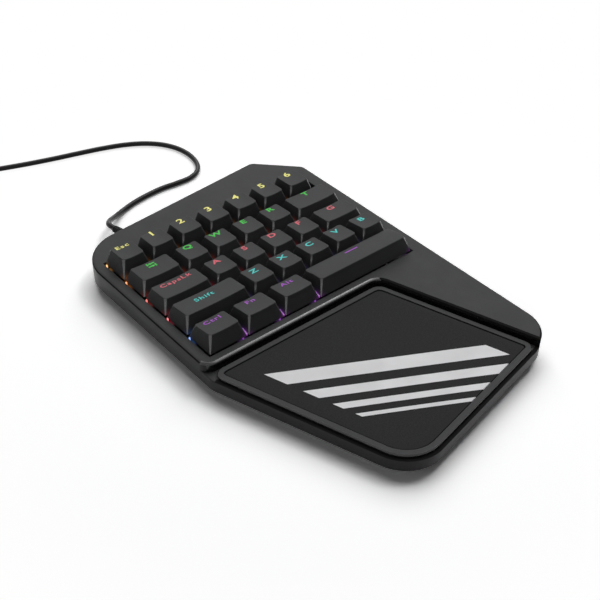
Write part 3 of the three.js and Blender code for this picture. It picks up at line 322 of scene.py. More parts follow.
def rectangle(middle, width, depth, radius=0.0, steps=4):
    """Points of a rectangle round its middle, with its corners rounded."""
    left, right = middle[0] - width / 2, middle[0] + width / 2
    front, back = middle[1] - depth / 2, middle[1] + depth / 2
    return rounded([
        (x, y, radius, steps) for x, y in ((left, front), (right, front), (right, back), (left, back))])


def arc(centre, radius, start, end, steps):
    """Points round a part of a circle, from one angle to another in degrees."""
    turns = [math.radians(start + (end - start) * k / steps) for k in range(steps + 1)]
    return [Vector((centre[0] + radius * math.cos(turn), centre[1] + radius * math.sin(turn)))
            for turn in turns]


def ring_at(points, z):
    return [Vector((point[0], point[1], z)) for point in points]


def rounding(width, height, steps=6):
    """Inset and rise of each step round a convex edge, from upright to level."""
    turns = [math.pi / 2 * k / steps for k in range(steps + 1)]
    return [(width * (1 - math.cos(turn)), height * math.sin(turn)) for turn in turns]


def edge_rings(outline, z, width, height, steps=6):
    """Rings over a rounded edge, on from the upright wall at z; a height below 0 runs downwards."""
    return [ring_at(outline(inset), z + rise) for inset, rise in rounding(width, height, steps)]


def wall_rings(outline, foot, top, width, height, steps=6):
    """Rings up an upright wall and over its rounded top edge."""
    return [ring_at(outline(0), foot)] + edge_rings(outline, top - height, width, height, steps)


def side_faces(low, high, count):
    """A band of quads between two rings, told by the numbers of their first points."""
    return [(low + k, low + (k + 1) % count, high + (k + 1) % count, high + k) for k in range(count)]


def loft(rings, closed=False):
    """A mesh through rings of equal count, each counter-clockwise as seen from the last one."""
    count = len(rings[0])
    last = (len(rings) - 1) * count
    faces = []
    for low in range(0, last, count):
        faces += side_faces(low, low + count, count)
    if closed:
        faces += side_faces(last, 0, count)
    else:
        faces += [tuple(reversed(range(count))), tuple(range(last, last + count))]
    return mesh_of([point for ring in rings for point in ring], faces)


def prism(points, low, high):
    return loft([ring_at(points, low), ring_at(points, high)])


def lathe(profile, segments=32):
    """A closed mesh turned round +Z from (radius, height) pairs, which begin and end on the axis."""
    turns = [math.tau * k / segments for k in range(segments)]
    points = [Vector((radius * math.cos(turn), radius * math.sin(turn), height))
              for radius, height in profile[1:-1] for turn in turns]
    foot, tip = len(points), len(points) + 1
    last = foot - segments
    points += [Vector((0, 0, profile[0][1])), Vector((0, 0, profile[-1][1]))]
    faces = []
    for k in range(segments):
        after = (k + 1) % segments
        faces += [(foot, after, k), (last + k, last + after, tip)]
    for low in range(0, last, segments):
        faces += side_faces(low, low + segments, segments)
    return mesh_of(points, faces)


def middle_of(node):
    return sum(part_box(node), Vector()) / 2


def rod(place, radius, low, high):
    mesh = lathe([(0, low), (radius, low), (radius, high), (0, high)])
    mesh.transform(Matrix.Translation((place[0], place[1], 0)))
    return mesh


def rods(places, radius, low, high):
    return [rod(place, radius, low, high) for place in places]


def weld(mesh):
    """Joins points that lie on each other, so that the mesh is closed."""
    welded = bmesh.new()
    welded.from_mesh(mesh)
    bmesh.ops.remove_doubles(welded, verts=welded.verts, dist=WELD)
    welded.to_mesh(mesh)
    welded.free()
    return mesh


def finished_mesh(holder, *tools):
    """The plain mesh that the holder's modifiers or letters give; the objects used are removed."""
    bpy.context.view_layer.update()
    mesh = bpy.data.meshes.new_from_object(
        holder.evaluated_get(bpy.context.evaluated_depsgraph_get()))
    for used in (holder, *tools):
        bpy.data.objects.remove(used)
    return mesh


def carve(mesh, others, operation="DIFFERENCE"):
    """The mesh joined with, cut by or cut down to the others, one after another."""
    whole = add_object("whole", mesh)
    tools = [add_object("tool", other) for other in others]
    for tool in tools:
        modifier = whole.modifiers.new("carve", "BOOLEAN")
        modifier.operation = operation
        modifier.solver = "EXACT"
        modifier.object = tool
    return weld(finished_mesh(whole, *tools))


def smooth(mesh, sharp_edge=32):
    """Shades the mesh smooth apart from edges of more degrees than given and large flat faces."""
    for face in mesh.polygons:
        face.use_smooth = len(face.vertices) < 5 or face.area < FLAT_AREA
    mesh.set_sharp_from_angle(angle=math.radians(sharp_edge))
    return mesh


def add_piece(name, mesh, materials, replaced=(), body="case"):
    chosen = [face.material_index for face in mesh.polygons]
    mesh.materials.clear()
    for material in materials:
        mesh.materials.append(material)
    mesh.polygons.foreach_set("material_index", chosen)
    piece = add_object(name, mesh)
    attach(piece, body)
    if replaced:
        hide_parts(*replaced)
    return piece


def noise(tree, size, detail=2.0):
    return add_node(tree, "ShaderNodeTexNoise", {
        "Vector": object_place(tree), "Scale": 1 / size, "Detail": detail}).outputs[0]


def relief(tree, height, depth):
    return add_node(tree, "ShaderNodeBump", {"Height": height, "Distance": depth}).outputs["Normal"]


def shade(colour, share):
    return tuple(channel * share for channel in colour)


def moulded_plastic(name, colour, roughness, grain, depth, specular, mottle=0.10):
    """Moulded plastic: spark-eroded grain, faint patches of tone, and gloss that varies with the grain."""
    material = new_material(name, colour, roughness, specular=specular)
    tree = material.node_tree
    speckle = noise(tree, grain)
    patches = spread(tree, noise(tree, PATCH_SIZE, PATCH_DETAIL), 0.0, 1.0)
    lighter = shade(colour, 1 + mottle)
    tone = mix_colours(tree, patches, shade(colour, 1 - mottle), lighter)
    gloss = spread(tree, speckle, roughness - PLASTIC_GLOSS_SPREAD, roughness + PLASTIC_GLOSS_SPREAD)
    set_shader(material, {
        "Base Color": mix_colours(tree, spread(tree, speckle, 0.0, SPECKLE_SHARE), tone, lighter),
        "Roughness": gloss,
        "Normal": relief(tree, speckle, depth),
    })
    return material


satin_case = moulded_plastic(
    "satin_case_plastic", (0.052, 0.0525, 0.053), 0.55, grain=0.35 * MM, depth=0.02 * MM, specular=0.08)
# Polished edge: real gloss, with a near-black colour that is painted shade.
polished_shaded_edge = moulded_plastic(
    "polished_black_edge", (0.006, 0.006, 0.0065), 0.22, grain=1.5 * MM, depth=0.001 * MM, specular=0.5,
    mottle=0.2)
# A black line of painted shade along edges and on the palm ledge.
black_shade_line = moulded_plastic(
    "black_shadow_line", (0.008, 0.008, 0.008), 0.7, grain=0.35 * MM, depth=0.01 * MM, specular=0.05)
# Wall finish: glossier than the deck, and darker in colour as painted shade.
glossy_shaded_wall = moulded_plastic(
    "smooth_dark_wall", (0.012, 0.012, 0.0125), 0.35, grain=0.5 * MM, depth=0.004 * MM, specular=0.2)

wall_corners = [
    (wall_left + PALM_SHIFT, block_front - PALM_LENGTH_LEFT, PALM_LEFT_RADIUS, 28),
    (wall_right, block_front - PALM_LENGTH_RIGHT, PALM_RIGHT_RADIUS, 28),
    (wall_right, back_right - CHAMFER_DEPTH, CHAMFER_RADIUS, 10),
    (wall_right - CHAMFER_WIDTH, back_right - back_slope * CHAMFER_WIDTH, CHAMFER_RADIUS, 10),
    (wall_left, back_left, BACK_LEFT_RADIUS, 32),
    (wall_left, block_front - PALM_START, PALM_START_RADIUS, 6),
]
step_corner = Vector((block_left + STEP_CORNER, rim_front))
step_along = Vector((STEP_RUN, RIM_FRONT - PALM_LENGTH_RIGHT)).normalized()
step_facing = Vector((-step_along.y, step_along.x))


def deck_mask(inset):
    """Everything behind the deck's front edge and right of its slanted step."""
    corner = Vector((wall_left + DECK_CORNER_RADIUS - DECK_CORNER_OVERHANG, rim_front + DECK_CORNER_RADIUS))
    centre = crossing(
        (Vector((0, rim_front - STEP_RADIUS)), Vector((1, 0))),
        (step_corner - step_facing * STEP_RADIUS, step_along),
    )
    last_angle = math.degrees(math.atan2(step_facing.y, step_facing.x))
    points = [Vector((-MASK_REACH, corner.y))]
    points += arc(corner, DECK_CORNER_RADIUS - inset, 180, 270, DECK_CORNER_STEPS)
    points += arc(centre, STEP_RADIUS + inset, 90, last_angle, DECK_CORNER_STEPS)
    foot = points[-1] + step_along * MASK_REACH
    return points + [
        foot, Vector((MASK_REACH * 2, foot.y)), Vector((MASK_REACH * 2, MASK_REACH)),
        Vector((-MASK_REACH, MASK_REACH)),
    ]


def wall_outline(inset):
    return rounded(wall_corners, inset)


def round_keys(grow, radius=0.0):
    """A rectangle round the block of keys, with the window's gap and some more between them."""
    width = block_right - block_left + (WINDOW_GAP + grow) * 2
    depth = block_back - block_front + (WINDOW_GAP + grow) * 2
    return rectangle(block_middle, width, depth, radius, steps=3)


def window_outline(grow):
    return round_keys(grow, WINDOW_CORNER + grow)


lip = edge_rings(deck_mask, deck_top - DECK_BEVEL_HEIGHT, DECK_LIP_WIDTH, DECK_LIP_HEIGHT)
mask = loft(
    [ring_at(deck_mask(0), wall_foot - OVERRUN)] + lip[:-1]
    + [ring_at(deck_mask(DECK_BEVEL_WIDTH), z) for z in (deck_top, deck_top + OVERRUN)])
deck_block = carve(
    loft(wall_rings(wall_outline, wall_foot, deck_top, DECK_BEVEL_WIDTH, DECK_BEVEL_HEIGHT)),
    [mask], "INTERSECT")
palm_block = loft(
    wall_rings(wall_outline, wall_foot, palm_floor, PALM_BEVEL_WIDTH, PALM_BEVEL_HEIGHT)
    + [ring_at(wall_outline(PALM_INSET + WINDOW_GAP), palm_floor)])
deck_under = deck_top - DECK_THICKNESS
skirt_foot = deck_top - SKIRT_FOOT_DROP
skirt = prism(round_keys(SKIRT_WALL), skirt_foot, deck_under + DECK_THICKNESS / 2)
window = loft(
    wall_rings(window_outline, skirt_foot - OVERRUN, deck_top, WINDOW_FILLET, WINDOW_FILLET)
    + [ring_at(window_outline(WINDOW_FILLET), deck_top + OVERRUN)])
deck_hollow = carve(
    prism(wall_outline(WALL), wall_foot - OVERRUN, deck_under),
    [prism(deck_mask(WALL), wall_foot - OVERRUN * 2, deck_top)], "INTERSECT")
palm_hollow = prism(wall_outline(WALL), wall_foot - OVERRUN, palm_floor - PALM_FLOOR_THICKNESS)
cover_mesh = carve(deck_block, [palm_block], "UNION")
cover_mesh = carve(cover_mesh, [deck_hollow, palm_hollow])
screw_places = [middle_of(name) for name in SCREW_NAMES]
screw_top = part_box(SCREW_NAMES[0])[1].z
boss_foot = case_low.z
bosses = [
    rod(place, BOSS_RADIUS, boss_foot,
        deck_under + DECK_THICKNESS / 2 if place.y > block_back else palm_floor - PALM_FLOOR_THICKNESS / 2)
    for place in screw_places
]
screw_holes = rods(
    screw_places, SCREW_RADIUS + SCREW_CLEARANCE, boss_foot - OVERRUN, screw_top + SCREW_CLEARANCE)
exit_normal = Vector((-back_slope, 1, 0)).normalized()
exit_place = Vector((
    block_left + CABLE_EXIT,
    back_left + back_slope * (block_left + CABLE_EXIT - wall_left),
    CABLE_EXIT_HEIGHT,
))
at_exit = Matrix.Translation(exit_place) @ exit_normal.to_track_quat("Z", "Y").to_matrix().to_4x4()
cable_hole = rod((0, 0), CABLE_HOLE_RADIUS, -WALL - OVERRUN, OVERRUN)
cable_hole.transform(at_exit)
cover_mesh = carve(cover_mesh, [skirt, *bosses], "UNION")
cover_mesh = carve(cover_mesh, [window, cable_hole, *screw_holes])
smooth(cover_mesh, COVER_SHARP_EDGE)
add_piece(
    "deck_and_palm_cover", cover_mesh, [satin_case, polished_shaded_edge, black_shade_line, glossy_shaded_wall],
    ["top_cover"])
bevel_foot = deck_top - DECK_BEVEL_HEIGHT
for face in cover_mesh.polygons:
    place, tilt = face.center, face.normal.z
    in_window = (block_left - WALL < place.x < block_right + WALL
                 and block_front - WALL < place.y < block_back + WALL)
    before_keys = place.y < block_front
    past_step = place.x > block_left + STEP_CORNER
    on_deck_edge = (place.z > bevel_foot - HOLDING_EDGE and UPRIGHT_TILT < tilt < LEVEL_TILT
                    and not in_window)
    at_step = (palm_floor < place.z < bevel_foot and abs(tilt) < WALL_TILT and face.normal.y < 0
               and place.x > wall_left + WALL and before_keys and not in_window)
    on_ledge = (palm_floor - PALM_BEVEL_HEIGHT / 2 < place.z < palm_floor + HOLDING_EDGE
                and tilt > LEDGE_TILT and face.area < LEDGE_AREA and place.y < rim_front - LEDGE_LINE_START)
    # Painted shade: the deck's front edge and the step wall below it get the polished near-black finish.
    if at_step or (on_deck_edge and before_keys and not past_step):
        face.material_index = 1
    # Painted shade: a black line on the palm ledge, the steep part of the deck's edge and the edge over the
    # slanted step.
    elif on_ledge or (on_deck_edge and (tilt < LOWER_EDGE_TILT or (past_step and before_keys))):
        face.material_index = 2
    # Painted shade: the cover's upright walls get the darker wall finish.
    elif abs(tilt) < WALL_TILT and not in_window:
        face.material_index = 3

# Lead: 1.5 m of round PVC cable, straight out of the back wall, down to the desk and round behind
# the keypad. What the picture doesn't need is wound into a neat coil beside it, held by a tie.
CABLE_DIAMETER = 3.2 * MM
RELIEF_LENGTH = 10.3 * MM
RELIEF_OVERLAP = 0.8 * MM
CORD_GAP = 0.3 * MM
LINE_STEPS = 12
LEAD_ROUND_STEPS = 3
COIL_PITCH = 3.7 * MM
COIL_RADIUS = 18.0 * MM
COIL_LAYERS = 4
COIL_TURNS = 10.25
COIL_LOOP_STEPS = 48
COIL_CLIMB_TURNS = 0.5
COIL_CENTRE = (-11.5 * MM, 265.5 * MM)
COIL_START_ANGLE = math.radians(-104)
TIE_THICKNESS = 0.8 * MM
TIE_GAP = 0.3 * MM
# The route's points, in millimetres from the front left corner of the key block and the desk.
RUN_POINTS = [
    (26.17, 130.9, 10.4), (26.6, 134.0, 9.7), (29.6, 138.6, 8.0), (34.2, 142.8, 5.6),
    (40.2, 147.3, 3.2), (47.6, 151.4, 1.8), (56.6, 154.2, 1.6), (67.4, 156.0, 1.6),
    (78.4, 156.7, 1.6), (88.4, 155.9, 1.6), (97.4, 155.6, 1.6), (104.0, 157.4, 1.6),
    (109.0, 161.4, 1.6), (112.4, 167.2, 1.6), (114.2, 174.4, 1.6), (114.4, 182.4, 1.6),
    (112.4, 191.4, 1.6), (107.4, 200.4, 1.6), (99.4, 208.2, 1.6), (88.4, 214.6, 1.6),
    (75.0, 219.6, 1.6), (60.0, 223.8, 1.6), (44.0, 228.0, 1.6), (28.0, 232.6, 1.7),
    (12.0, 237.4, 2.1), (0.0, 240.8, 2.6),
]
TAIL_POINTS = [
    (-33.2, 281.6, 11.2), (-33.0, 290.0, 8.6), (-36.4, 297.6, 6.6), (-43.4, 301.6, 5.2),
    (-51.0, 298.6, 4.4), (-54.6, 291.0, 4.1), (-55.0, 283.0, 4.0),
]
PLUG_PLACE = (-54 * MM, 244 * MM)
PLUG_LENGTH = 24 * MM
PLUG_HEIGHT = 8 * MM
PLUG_SLEEVE_LENGTH = 9 * MM


def from_block(x, y, z):
    return Vector((block_left + x, block_front + y, z))


def route(points):
    return [from_block(x * MM, y * MM, z * MM) for x, y, z in points]


def blend(near, far, near_knot, far_knot, knot):
    span = far_knot - near_knot
    return near * ((far_knot - knot) / span) + far * ((knot - near_knot) / span)


def through(points):
    """Points along the smooth centripetal curve through the given ones."""
    ends = [points[0] * 2 - points[1], *points, points[-1] * 2 - points[-2]]
    line = [points[0]]
    for group in zip(ends, ends[1:], ends[2:], ends[3:]):
        knots = [0.0]
        for near, far in zip(group, group[1:]):
            knots.append(knots[-1] + math.sqrt((far - near).length))
        for k in range(1, LINE_STEPS + 1):
            knot = knots[1] + (knots[2] - knots[1]) * k / LINE_STEPS
            legs = [blend(group[i], group[i + 1], knots[i], knots[i + 1], knot) for i in range(3)]
            pair = [blend(legs[i], legs[i + 1], knots[i], knots[i + 2], knot) for i in range(2)]
            line.append(blend(*pair, knots[1], knots[2], knot))
    return line


coil_base = TIE_THICKNESS + TIE_GAP + CABLE_DIAMETER / 2
layer_turns = COIL_TURNS / COIL_LAYERS


def coil_point(turns):
    """The line spirals in and out by turns, and climbs a layer where it turns back."""
    layer = min(math.floor(turns / layer_turns), COIL_LAYERS - 1)
    into = turns - layer * layer_turns
    inward = into if layer % 2 == 0 else layer_turns - into
    radius = COIL_RADIUS + COIL_PITCH * (layer_turns / 2 - inward)
    climb = 0.0
    for k in range(1, COIL_LAYERS):
        share = min(max((turns - k * layer_turns) / COIL_CLIMB_TURNS + 0.5, 0.0), 1.0)
        climb += share * share * (3 - 2 * share)
    angle = COIL_START_ANGLE - math.tau * turns
    return from_block(
        COIL_CENTRE[0] + radius * math.cos(angle),
        COIL_CENTRE[1] + radius * math.sin(angle),
        coil_base + COIL_PITCH * climb,
    )


coil_steps = round(COIL_TURNS * COIL_LOOP_STEPS)
turn_points = [coil_point(COIL_TURNS * k / coil_steps) for k in range(coil_steps + 1)]


def run_out(end, beside):
    direction = end - beside
    direction.z = 0
    return direction.normalized()


into_coil = -run_out(turn_points[0], turn_points[1])
out_of_coil = run_out(turn_points[-1], turn_points[-2])
coil_in = turn_points[0] - into_coil * CABLE_DIAMETER
coil_out = turn_points[-1] + out_of_coil * CABLE_DIAMETER
cord_exit = exit_place + exit_normal * (RELIEF_LENGTH - RELIEF_OVERLAP)
plug_back = PLUG_PLACE[1] + PLUG_LENGTH + PLUG_SLEEVE_LENGTH
cord_end = from_block(PLUG_PLACE[0], plug_back - RELIEF_OVERLAP, PLUG_HEIGHT / 2)
run_end = coil_in - into_coil * CORD_GAP
run_line = [cord_exit] + through(
    [exit_place + exit_normal * (RELIEF_LENGTH + CORD_GAP)]
    + route(RUN_POINTS)
    + [run_end - into_coil * CABLE_DIAMETER, run_end]
)
tail_start = coil_out + out_of_coil * CORD_GAP
tail_end = cord_end + Vector((0, RELIEF_OVERLAP + CORD_GAP, 0))
tail_line = through(
    [tail_start, tail_start + out_of_coil * CABLE_DIAMETER]
    + route(TAIL_POINTS)
    + [tail_end + Vector((0, CABLE_DIAMETER, 0)), tail_end]
) + [cord_end]
lead_line = run_line + turn_points + tail_line

lead_curve = bpy.data.curves.new("usb_lead", "CURVE")
lead_curve.dimensions = "3D"
lead_curve.bevel_depth = CABLE_DIAMETER / 2
lead_curve.bevel_resolution = LEAD_ROUND_STEPS
lead_curve.use_fill_caps = True
spline = lead_curve.splines.new("POLY")
spline.points.add(len(lead_line) - 1)
for point, place in zip(spline.points, lead_line):
    point.co = (*place, 1)
spline.use_smooth = True
soft_pvc = moulded_plastic(
    "soft_black_pvc", (0.007, 0.007, 0.0075), 0.2, grain=0.6 * MM, depth=0.002 * MM, specular=0.15)
lead_curve.materials.append(soft_pvc)
lead = add_object("usb_lead", lead_curve)
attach(lead, "case")
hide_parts("cable_run", "cable_coil", "cable_tail")

# Strain relief: soft PVC moulded round the lead, with a flange behind the wall, a collar in front
# of it and a tapered sleeve whose rings let it bend.
RELIEF_FLANGE = 1.4 * MM
RELIEF_FLANGE_RADIUS = 3.8 * MM
RELIEF_NECK_RADIUS = 2.4 * MM
RELIEF_COLLAR = 2.4 * MM
RELIEF_COLLAR_RADIUS = 3.3 * MM
RELIEF_ROOT_RADIUS = 2.8 * MM
RELIEF_TIP_RADIUS = 2.1 * MM
RELIEF_RING_COUNT = 5
RELIEF_GROOVE_DEPTH = 0.4 * MM
RELIEF_EDGE = 0.35 * MM


def sleeve_profile(start, end, root, tip):
    """A tapered sleeve with a bevelled tip and rings of full size between its grooves."""
    profile = []
    start, end, close = start + RELIEF_EDGE, end - RELIEF_EDGE, end
    step = (end - start) / (RELIEF_RING_COUNT * 2 - 1)
    for k in range(RELIEF_RING_COUNT):
        for share, groove in ((0.0, True), (0.25, False), (0.75, False), (1.0, True)):
            along = start + step * (k * 2 + share)
            taper = root + (tip - root) * (along - start) / (end - start)
            grooved = groove and 0 < k + share < RELIEF_RING_COUNT
            profile.append((taper - (RELIEF_GROOVE_DEPTH if grooved else 0), along))
    return profile + [(tip - RELIEF_EDGE, close), (0, close)]


flange_back = -WALL - CORD_GAP - RELIEF_FLANGE
collar_end = CORD_GAP + RELIEF_COLLAR
relief_mesh = lathe(
    [(0, flange_back), (RELIEF_FLANGE_RADIUS, flange_back),
     (RELIEF_FLANGE_RADIUS, flange_back + RELIEF_FLANGE),
     (RELIEF_NECK_RADIUS, flange_back + RELIEF_FLANGE),
     (RELIEF_NECK_RADIUS, CORD_GAP), (RELIEF_COLLAR_RADIUS, CORD_GAP)]
    + [(RELIEF_COLLAR_RADIUS - inset, collar_end - RELIEF_EDGE + rise)
       for inset, rise in rounding(RELIEF_EDGE, RELIEF_EDGE, steps=4)]
    + sleeve_profile(collar_end, RELIEF_LENGTH, RELIEF_ROOT_RADIUS, RELIEF_TIP_RADIUS))
relief_mesh.transform(at_exit)
relief_rubber = moulded_plastic(
    "relief_rubber", (0.007, 0.007, 0.0075), 0.5, grain=0.5 * MM, depth=0.01 * MM, specular=0.25)
add_piece("ribbed_strain_relief", smooth(relief_mesh), [relief_rubber], ["strain_relief"])

# Coil tie: a woven nylon hook-and-loop strap round the bundle of turns. Its free end is pressed down
# on the strap's own upper side.
TIE_WIDTH = 6 * MM
TIE_ANGLE = math.radians(60)
TIE_EDGE = 0.2 * MM
TIE_SHARP_EDGE = 50  # degrees
TIE_END_LENGTH = 11 * MM
TIE_END_CORNER = 1.5 * MM
TIE_END_THICKNESS = 0.9 * MM
TIE_END_PRESS = 0.05 * MM
tie_half = (COIL_PITCH * layer_turns + CABLE_DIAMETER) / 2 + TIE_GAP
tie_low = coil_base - CABLE_DIAMETER / 2 - TIE_GAP
tie_high = coil_base + COIL_PITCH * (COIL_LAYERS - 1) + CABLE_DIAMETER / 2 + TIE_GAP
tie_place = (
    Matrix.Translation(from_block(
        COIL_CENTRE[0] + COIL_RADIUS * math.cos(TIE_ANGLE),
        COIL_CENTRE[1] + COIL_RADIUS * math.sin(TIE_ANGLE),
        (tie_low + tie_high) / 2,
    ))
    @ Matrix.Rotation(TIE_ANGLE, 4, "Z") @ Matrix.Rotation(math.pi / 2, 4, "X")
)


def tie_ring(grow, along):
    width, height = (tie_half + grow) * 2, tie_high - tie_low + grow * 2
    return ring_at(rectangle((0, 0), width, height, CABLE_DIAMETER / 2 + grow, steps=8), along)


def tie_end_outline(inset):
    length, width = TIE_END_LENGTH - inset * 2, TIE_WIDTH - inset * 2
    return rectangle((0, 0), length, width, TIE_END_CORNER - inset, steps=6)


half_tie = TIE_WIDTH / 2
tie_section = [(0, TIE_EDGE), (TIE_EDGE, 0), (TIE_THICKNESS - TIE_EDGE, 0), (TIE_THICKNESS, TIE_EDGE)]
tie_mesh = loft(
    [tie_ring(grow, setback - half_tie) for grow, setback in tie_section]
    + [tie_ring(grow, half_tie - setback) for grow, setback in reversed(tie_section)], closed=True)
tie_mesh.transform(tie_place)
woven_black = moulded_plastic(
    "woven_black_strap", (0.02, 0.02, 0.021), 0.85, grain=0.45 * MM, depth=0.12 * MM, specular=0.2)
add_piece("hook_and_loop_tie", smooth(tie_mesh, TIE_SHARP_EDGE), [woven_black], ["coil_tie"])
strap_top = (tie_high - tie_low) / 2 + TIE_THICKNESS
strap_end = loft(wall_rings(tie_end_outline, 0, TIE_END_THICKNESS, TIE_EDGE, TIE_EDGE, steps=4))
strap_end.transform(tie_place @ Matrix.Rotation(-math.pi / 2, 4, "X")
                    @ Matrix.Translation((0, 0, strap_top - TIE_END_PRESS)))
add_piece("tie_end_tab", smooth(strap_end, TIE_SHARP_EDGE), [woven_black])

# USB plug: a black PVC grip moulded round the end of the lead, ribbed for the fingers, with the
# insulating tongue and its four gilt contacts inside a nickel-plated steel shell.
PLUG_WIDTH = 15 * MM
PLUG_CORNER = 2.5 * MM
PLUG_EDGE = 1.3 * MM
PLUG_SLEEVE_ROOT = 3.0 * MM
PLUG_SLEEVE_TIP = 2.3 * MM
GRIP_RIB_COUNT = 5
GRIP_RIB_PITCH = 2.2 * MM
GRIP_RIB_HEIGHT = 0.35 * MM
GRIP_RIB_PROUD = 0.25 * MM
GRIP_RIB_EDGE = 0.3 * MM
GRIP_RIB_WIDTH = 1.0 * MM
GRIP_RIB_LENGTH = 8 * MM
GRIP_RIB_SHARP_EDGE = 50  # degrees
SHELL_LENGTH = 14 * MM
SHELL_WIDTH = 12 * MM
SHELL_HEIGHT = 4.5 * MM
SHELL_WALL = 0.4 * MM
SHELL_ROOT = 3 * MM
SHELL_CORNER = 0.7 * MM
SHELL_WINDOW = 2.2 * MM
SHELL_WINDOW_SETBACK = 5.1 * MM
SHELL_WINDOW_SPREAD = 2.9 * MM
TONGUE_HEIGHT = 1.8 * MM
TONGUE_LENGTH = 12 * MM
CONTACT_COUNT = 4
CONTACT_PITCH = 2.3 * MM
CONTACT_WIDTH = 1.1 * MM
CONTACT_LENGTH = 7.2 * MM
CONTACT_HEIGHT = 0.12 * MM
CONTACT_SETBACK = 0.6 * MM
CLOUD_SIZE = 6 * MM
CLOUD_SHARE = 0.85
METAL_GLOSS_SPREAD = 0.08
SCRATCH_DEPTH = 0.003 * MM
plug_middle = from_block(PLUG_PLACE[0], PLUG_PLACE[1], PLUG_HEIGHT / 2)
plug_turn = Matrix.Translation(plug_middle) @ Matrix.Rotation(-math.pi / 2, 4, "X")


def block(middle, width, depth, low, high):
    return prism(rectangle(middle, width, depth), low, high)


def grip_outline(inset):
    """Round the grip, across the plug; local Z runs back along the plug from the grip's front."""
    width, height = PLUG_WIDTH - inset * 2, PLUG_HEIGHT - inset * 2
    return rectangle((0, 0), width, height, PLUG_CORNER - inset, steps=6)


def rib_outline(inset):
    half = GRIP_RIB_WIDTH / 2 - inset
    return rectangle((0, 0), GRIP_RIB_LENGTH - inset * 2, half * 2, half, steps=6)


def shell_ring(grow, along):
    width, height = SHELL_WIDTH + grow * 2, SHELL_HEIGHT + grow * 2
    return ring_at(rectangle((0, 0), width, height, SHELL_CORNER + grow, steps=6), along)


def copies(name, shape, places, finish):
    """One plain mesh with a copy of the shape at every place, made by a Geometry Nodes tree."""
    tree = bpy.data.node_groups.new(name, "GeometryNodeTree")
    kinds = {"Places": "Geometry", "Shape": "Object", "Size": "Float", "Finish": "Material"}
    inputs = {
        label: tree.interface.new_socket(label, in_out="INPUT", socket_type="NodeSocket" + kind).identifier
        for label, kind in kinds.items()
    }
    tree.interface.new_socket("Copies", in_out="OUTPUT", socket_type="NodeSocketGeometry")
    given = add_node(tree, "NodeGroupInput").outputs
    shape_info = add_node(tree, "GeometryNodeObjectInfo", {"Object": given["Shape"]})
    placed = add_node(tree, "GeometryNodeInstanceOnPoints", {
        "Points": given["Places"], "Instance": shape_info.outputs["Geometry"], "Scale": given["Size"]})
    realized = add_node(tree, "GeometryNodeRealizeInstances", {"Geometry": placed.outputs["Instances"]})
    painted = add_node(tree, "GeometryNodeSetMaterial", {
        "Geometry": realized.outputs["Geometry"], "Material": given["Finish"]})
    add_node(tree, "NodeGroupOutput", {"Copies": painted.outputs["Geometry"]})
    pattern = add_object(name + "_shape", shape)
    host = add_object(name + "_places", mesh_of(places))
    modifier = host.modifiers.new("copies", "NODES")
    modifier.node_group = tree
    modifier[inputs["Shape"]] = pattern
    modifier[inputs["Size"]] = 1.0
    modifier[inputs["Finish"]] = finish
    return finished_mesh(host, pattern)


def plated_metal(name, colour, roughness, grain):
    """Plated or bare metal with faint cloudiness and fine scratches in its gloss."""
    material = new_material(name, colour, roughness, metallic=1.0)
    tree = material.node_tree
    cloud = spread(tree, noise(tree, CLOUD_SIZE, PATCH_DETAIL), 0.0, 1.0)
    scratch = noise(tree, grain)
    set_shader(material, {
        "Base Color": mix_colours(tree, cloud, shade(colour, CLOUD_SHARE), colour),
        "Roughness": spread(tree, scratch, roughness - METAL_GLOSS_SPREAD, roughness + METAL_GLOSS_SPREAD),
        "Normal": relief(tree, scratch, SCRATCH_DEPTH),
    })
    return material


grip_front = edge_rings(grip_outline, PLUG_EDGE, PLUG_EDGE / 2, -PLUG_EDGE / 2, steps=4)[::-1]
grip_back = edge_rings(grip_outline, PLUG_LENGTH - PLUG_EDGE, PLUG_EDGE, PLUG_EDGE, steps=5)
sleeve_start = PLUG_LENGTH - PLUG_EDGE * 2
grip_sleeve = lathe(
    [(0, sleeve_start), (PLUG_SLEEVE_ROOT, sleeve_start)]
    + sleeve_profile(PLUG_LENGTH, PLUG_LENGTH + PLUG_SLEEVE_LENGTH, PLUG_SLEEVE_ROOT, PLUG_SLEEVE_TIP))
shell_seat = block(
    (0, 0), SHELL_WIDTH + CORD_GAP * 2, SHELL_HEIGHT + CORD_GAP * 2, -OVERRUN, SHELL_ROOT + CORD_GAP)
grip_mesh = carve(carve(loft(grip_front + grip_back), [grip_sleeve], "UNION"), [shell_seat])
grip_mesh.transform(plug_turn)
grip_pvc = moulded_plastic(
    "plug_grip_pvc", (0.013, 0.013, 0.0135), 0.55, grain=0.5 * MM, depth=0.015 * MM, specular=0.3)
add_piece("plug_grip", smooth(grip_mesh), [grip_pvc], ["usb_plug_body"])
rib_shape = loft(wall_rings(
    rib_outline, -GRIP_RIB_HEIGHT, GRIP_RIB_PROUD, GRIP_RIB_EDGE, GRIP_RIB_PROUD, steps=4))
rib_places = [
    plug_middle + Vector((0, PLUG_LENGTH / 2 + GRIP_RIB_PITCH * (k - (GRIP_RIB_COUNT - 1) / 2),
                          PLUG_HEIGHT / 2))
    for k in range(GRIP_RIB_COUNT)
]
rib_mesh = copies("grip_ribs", rib_shape, rib_places, grip_pvc)
add_piece("plug_grip_ribs", smooth(rib_mesh, GRIP_RIB_SHARP_EDGE), [grip_pvc])

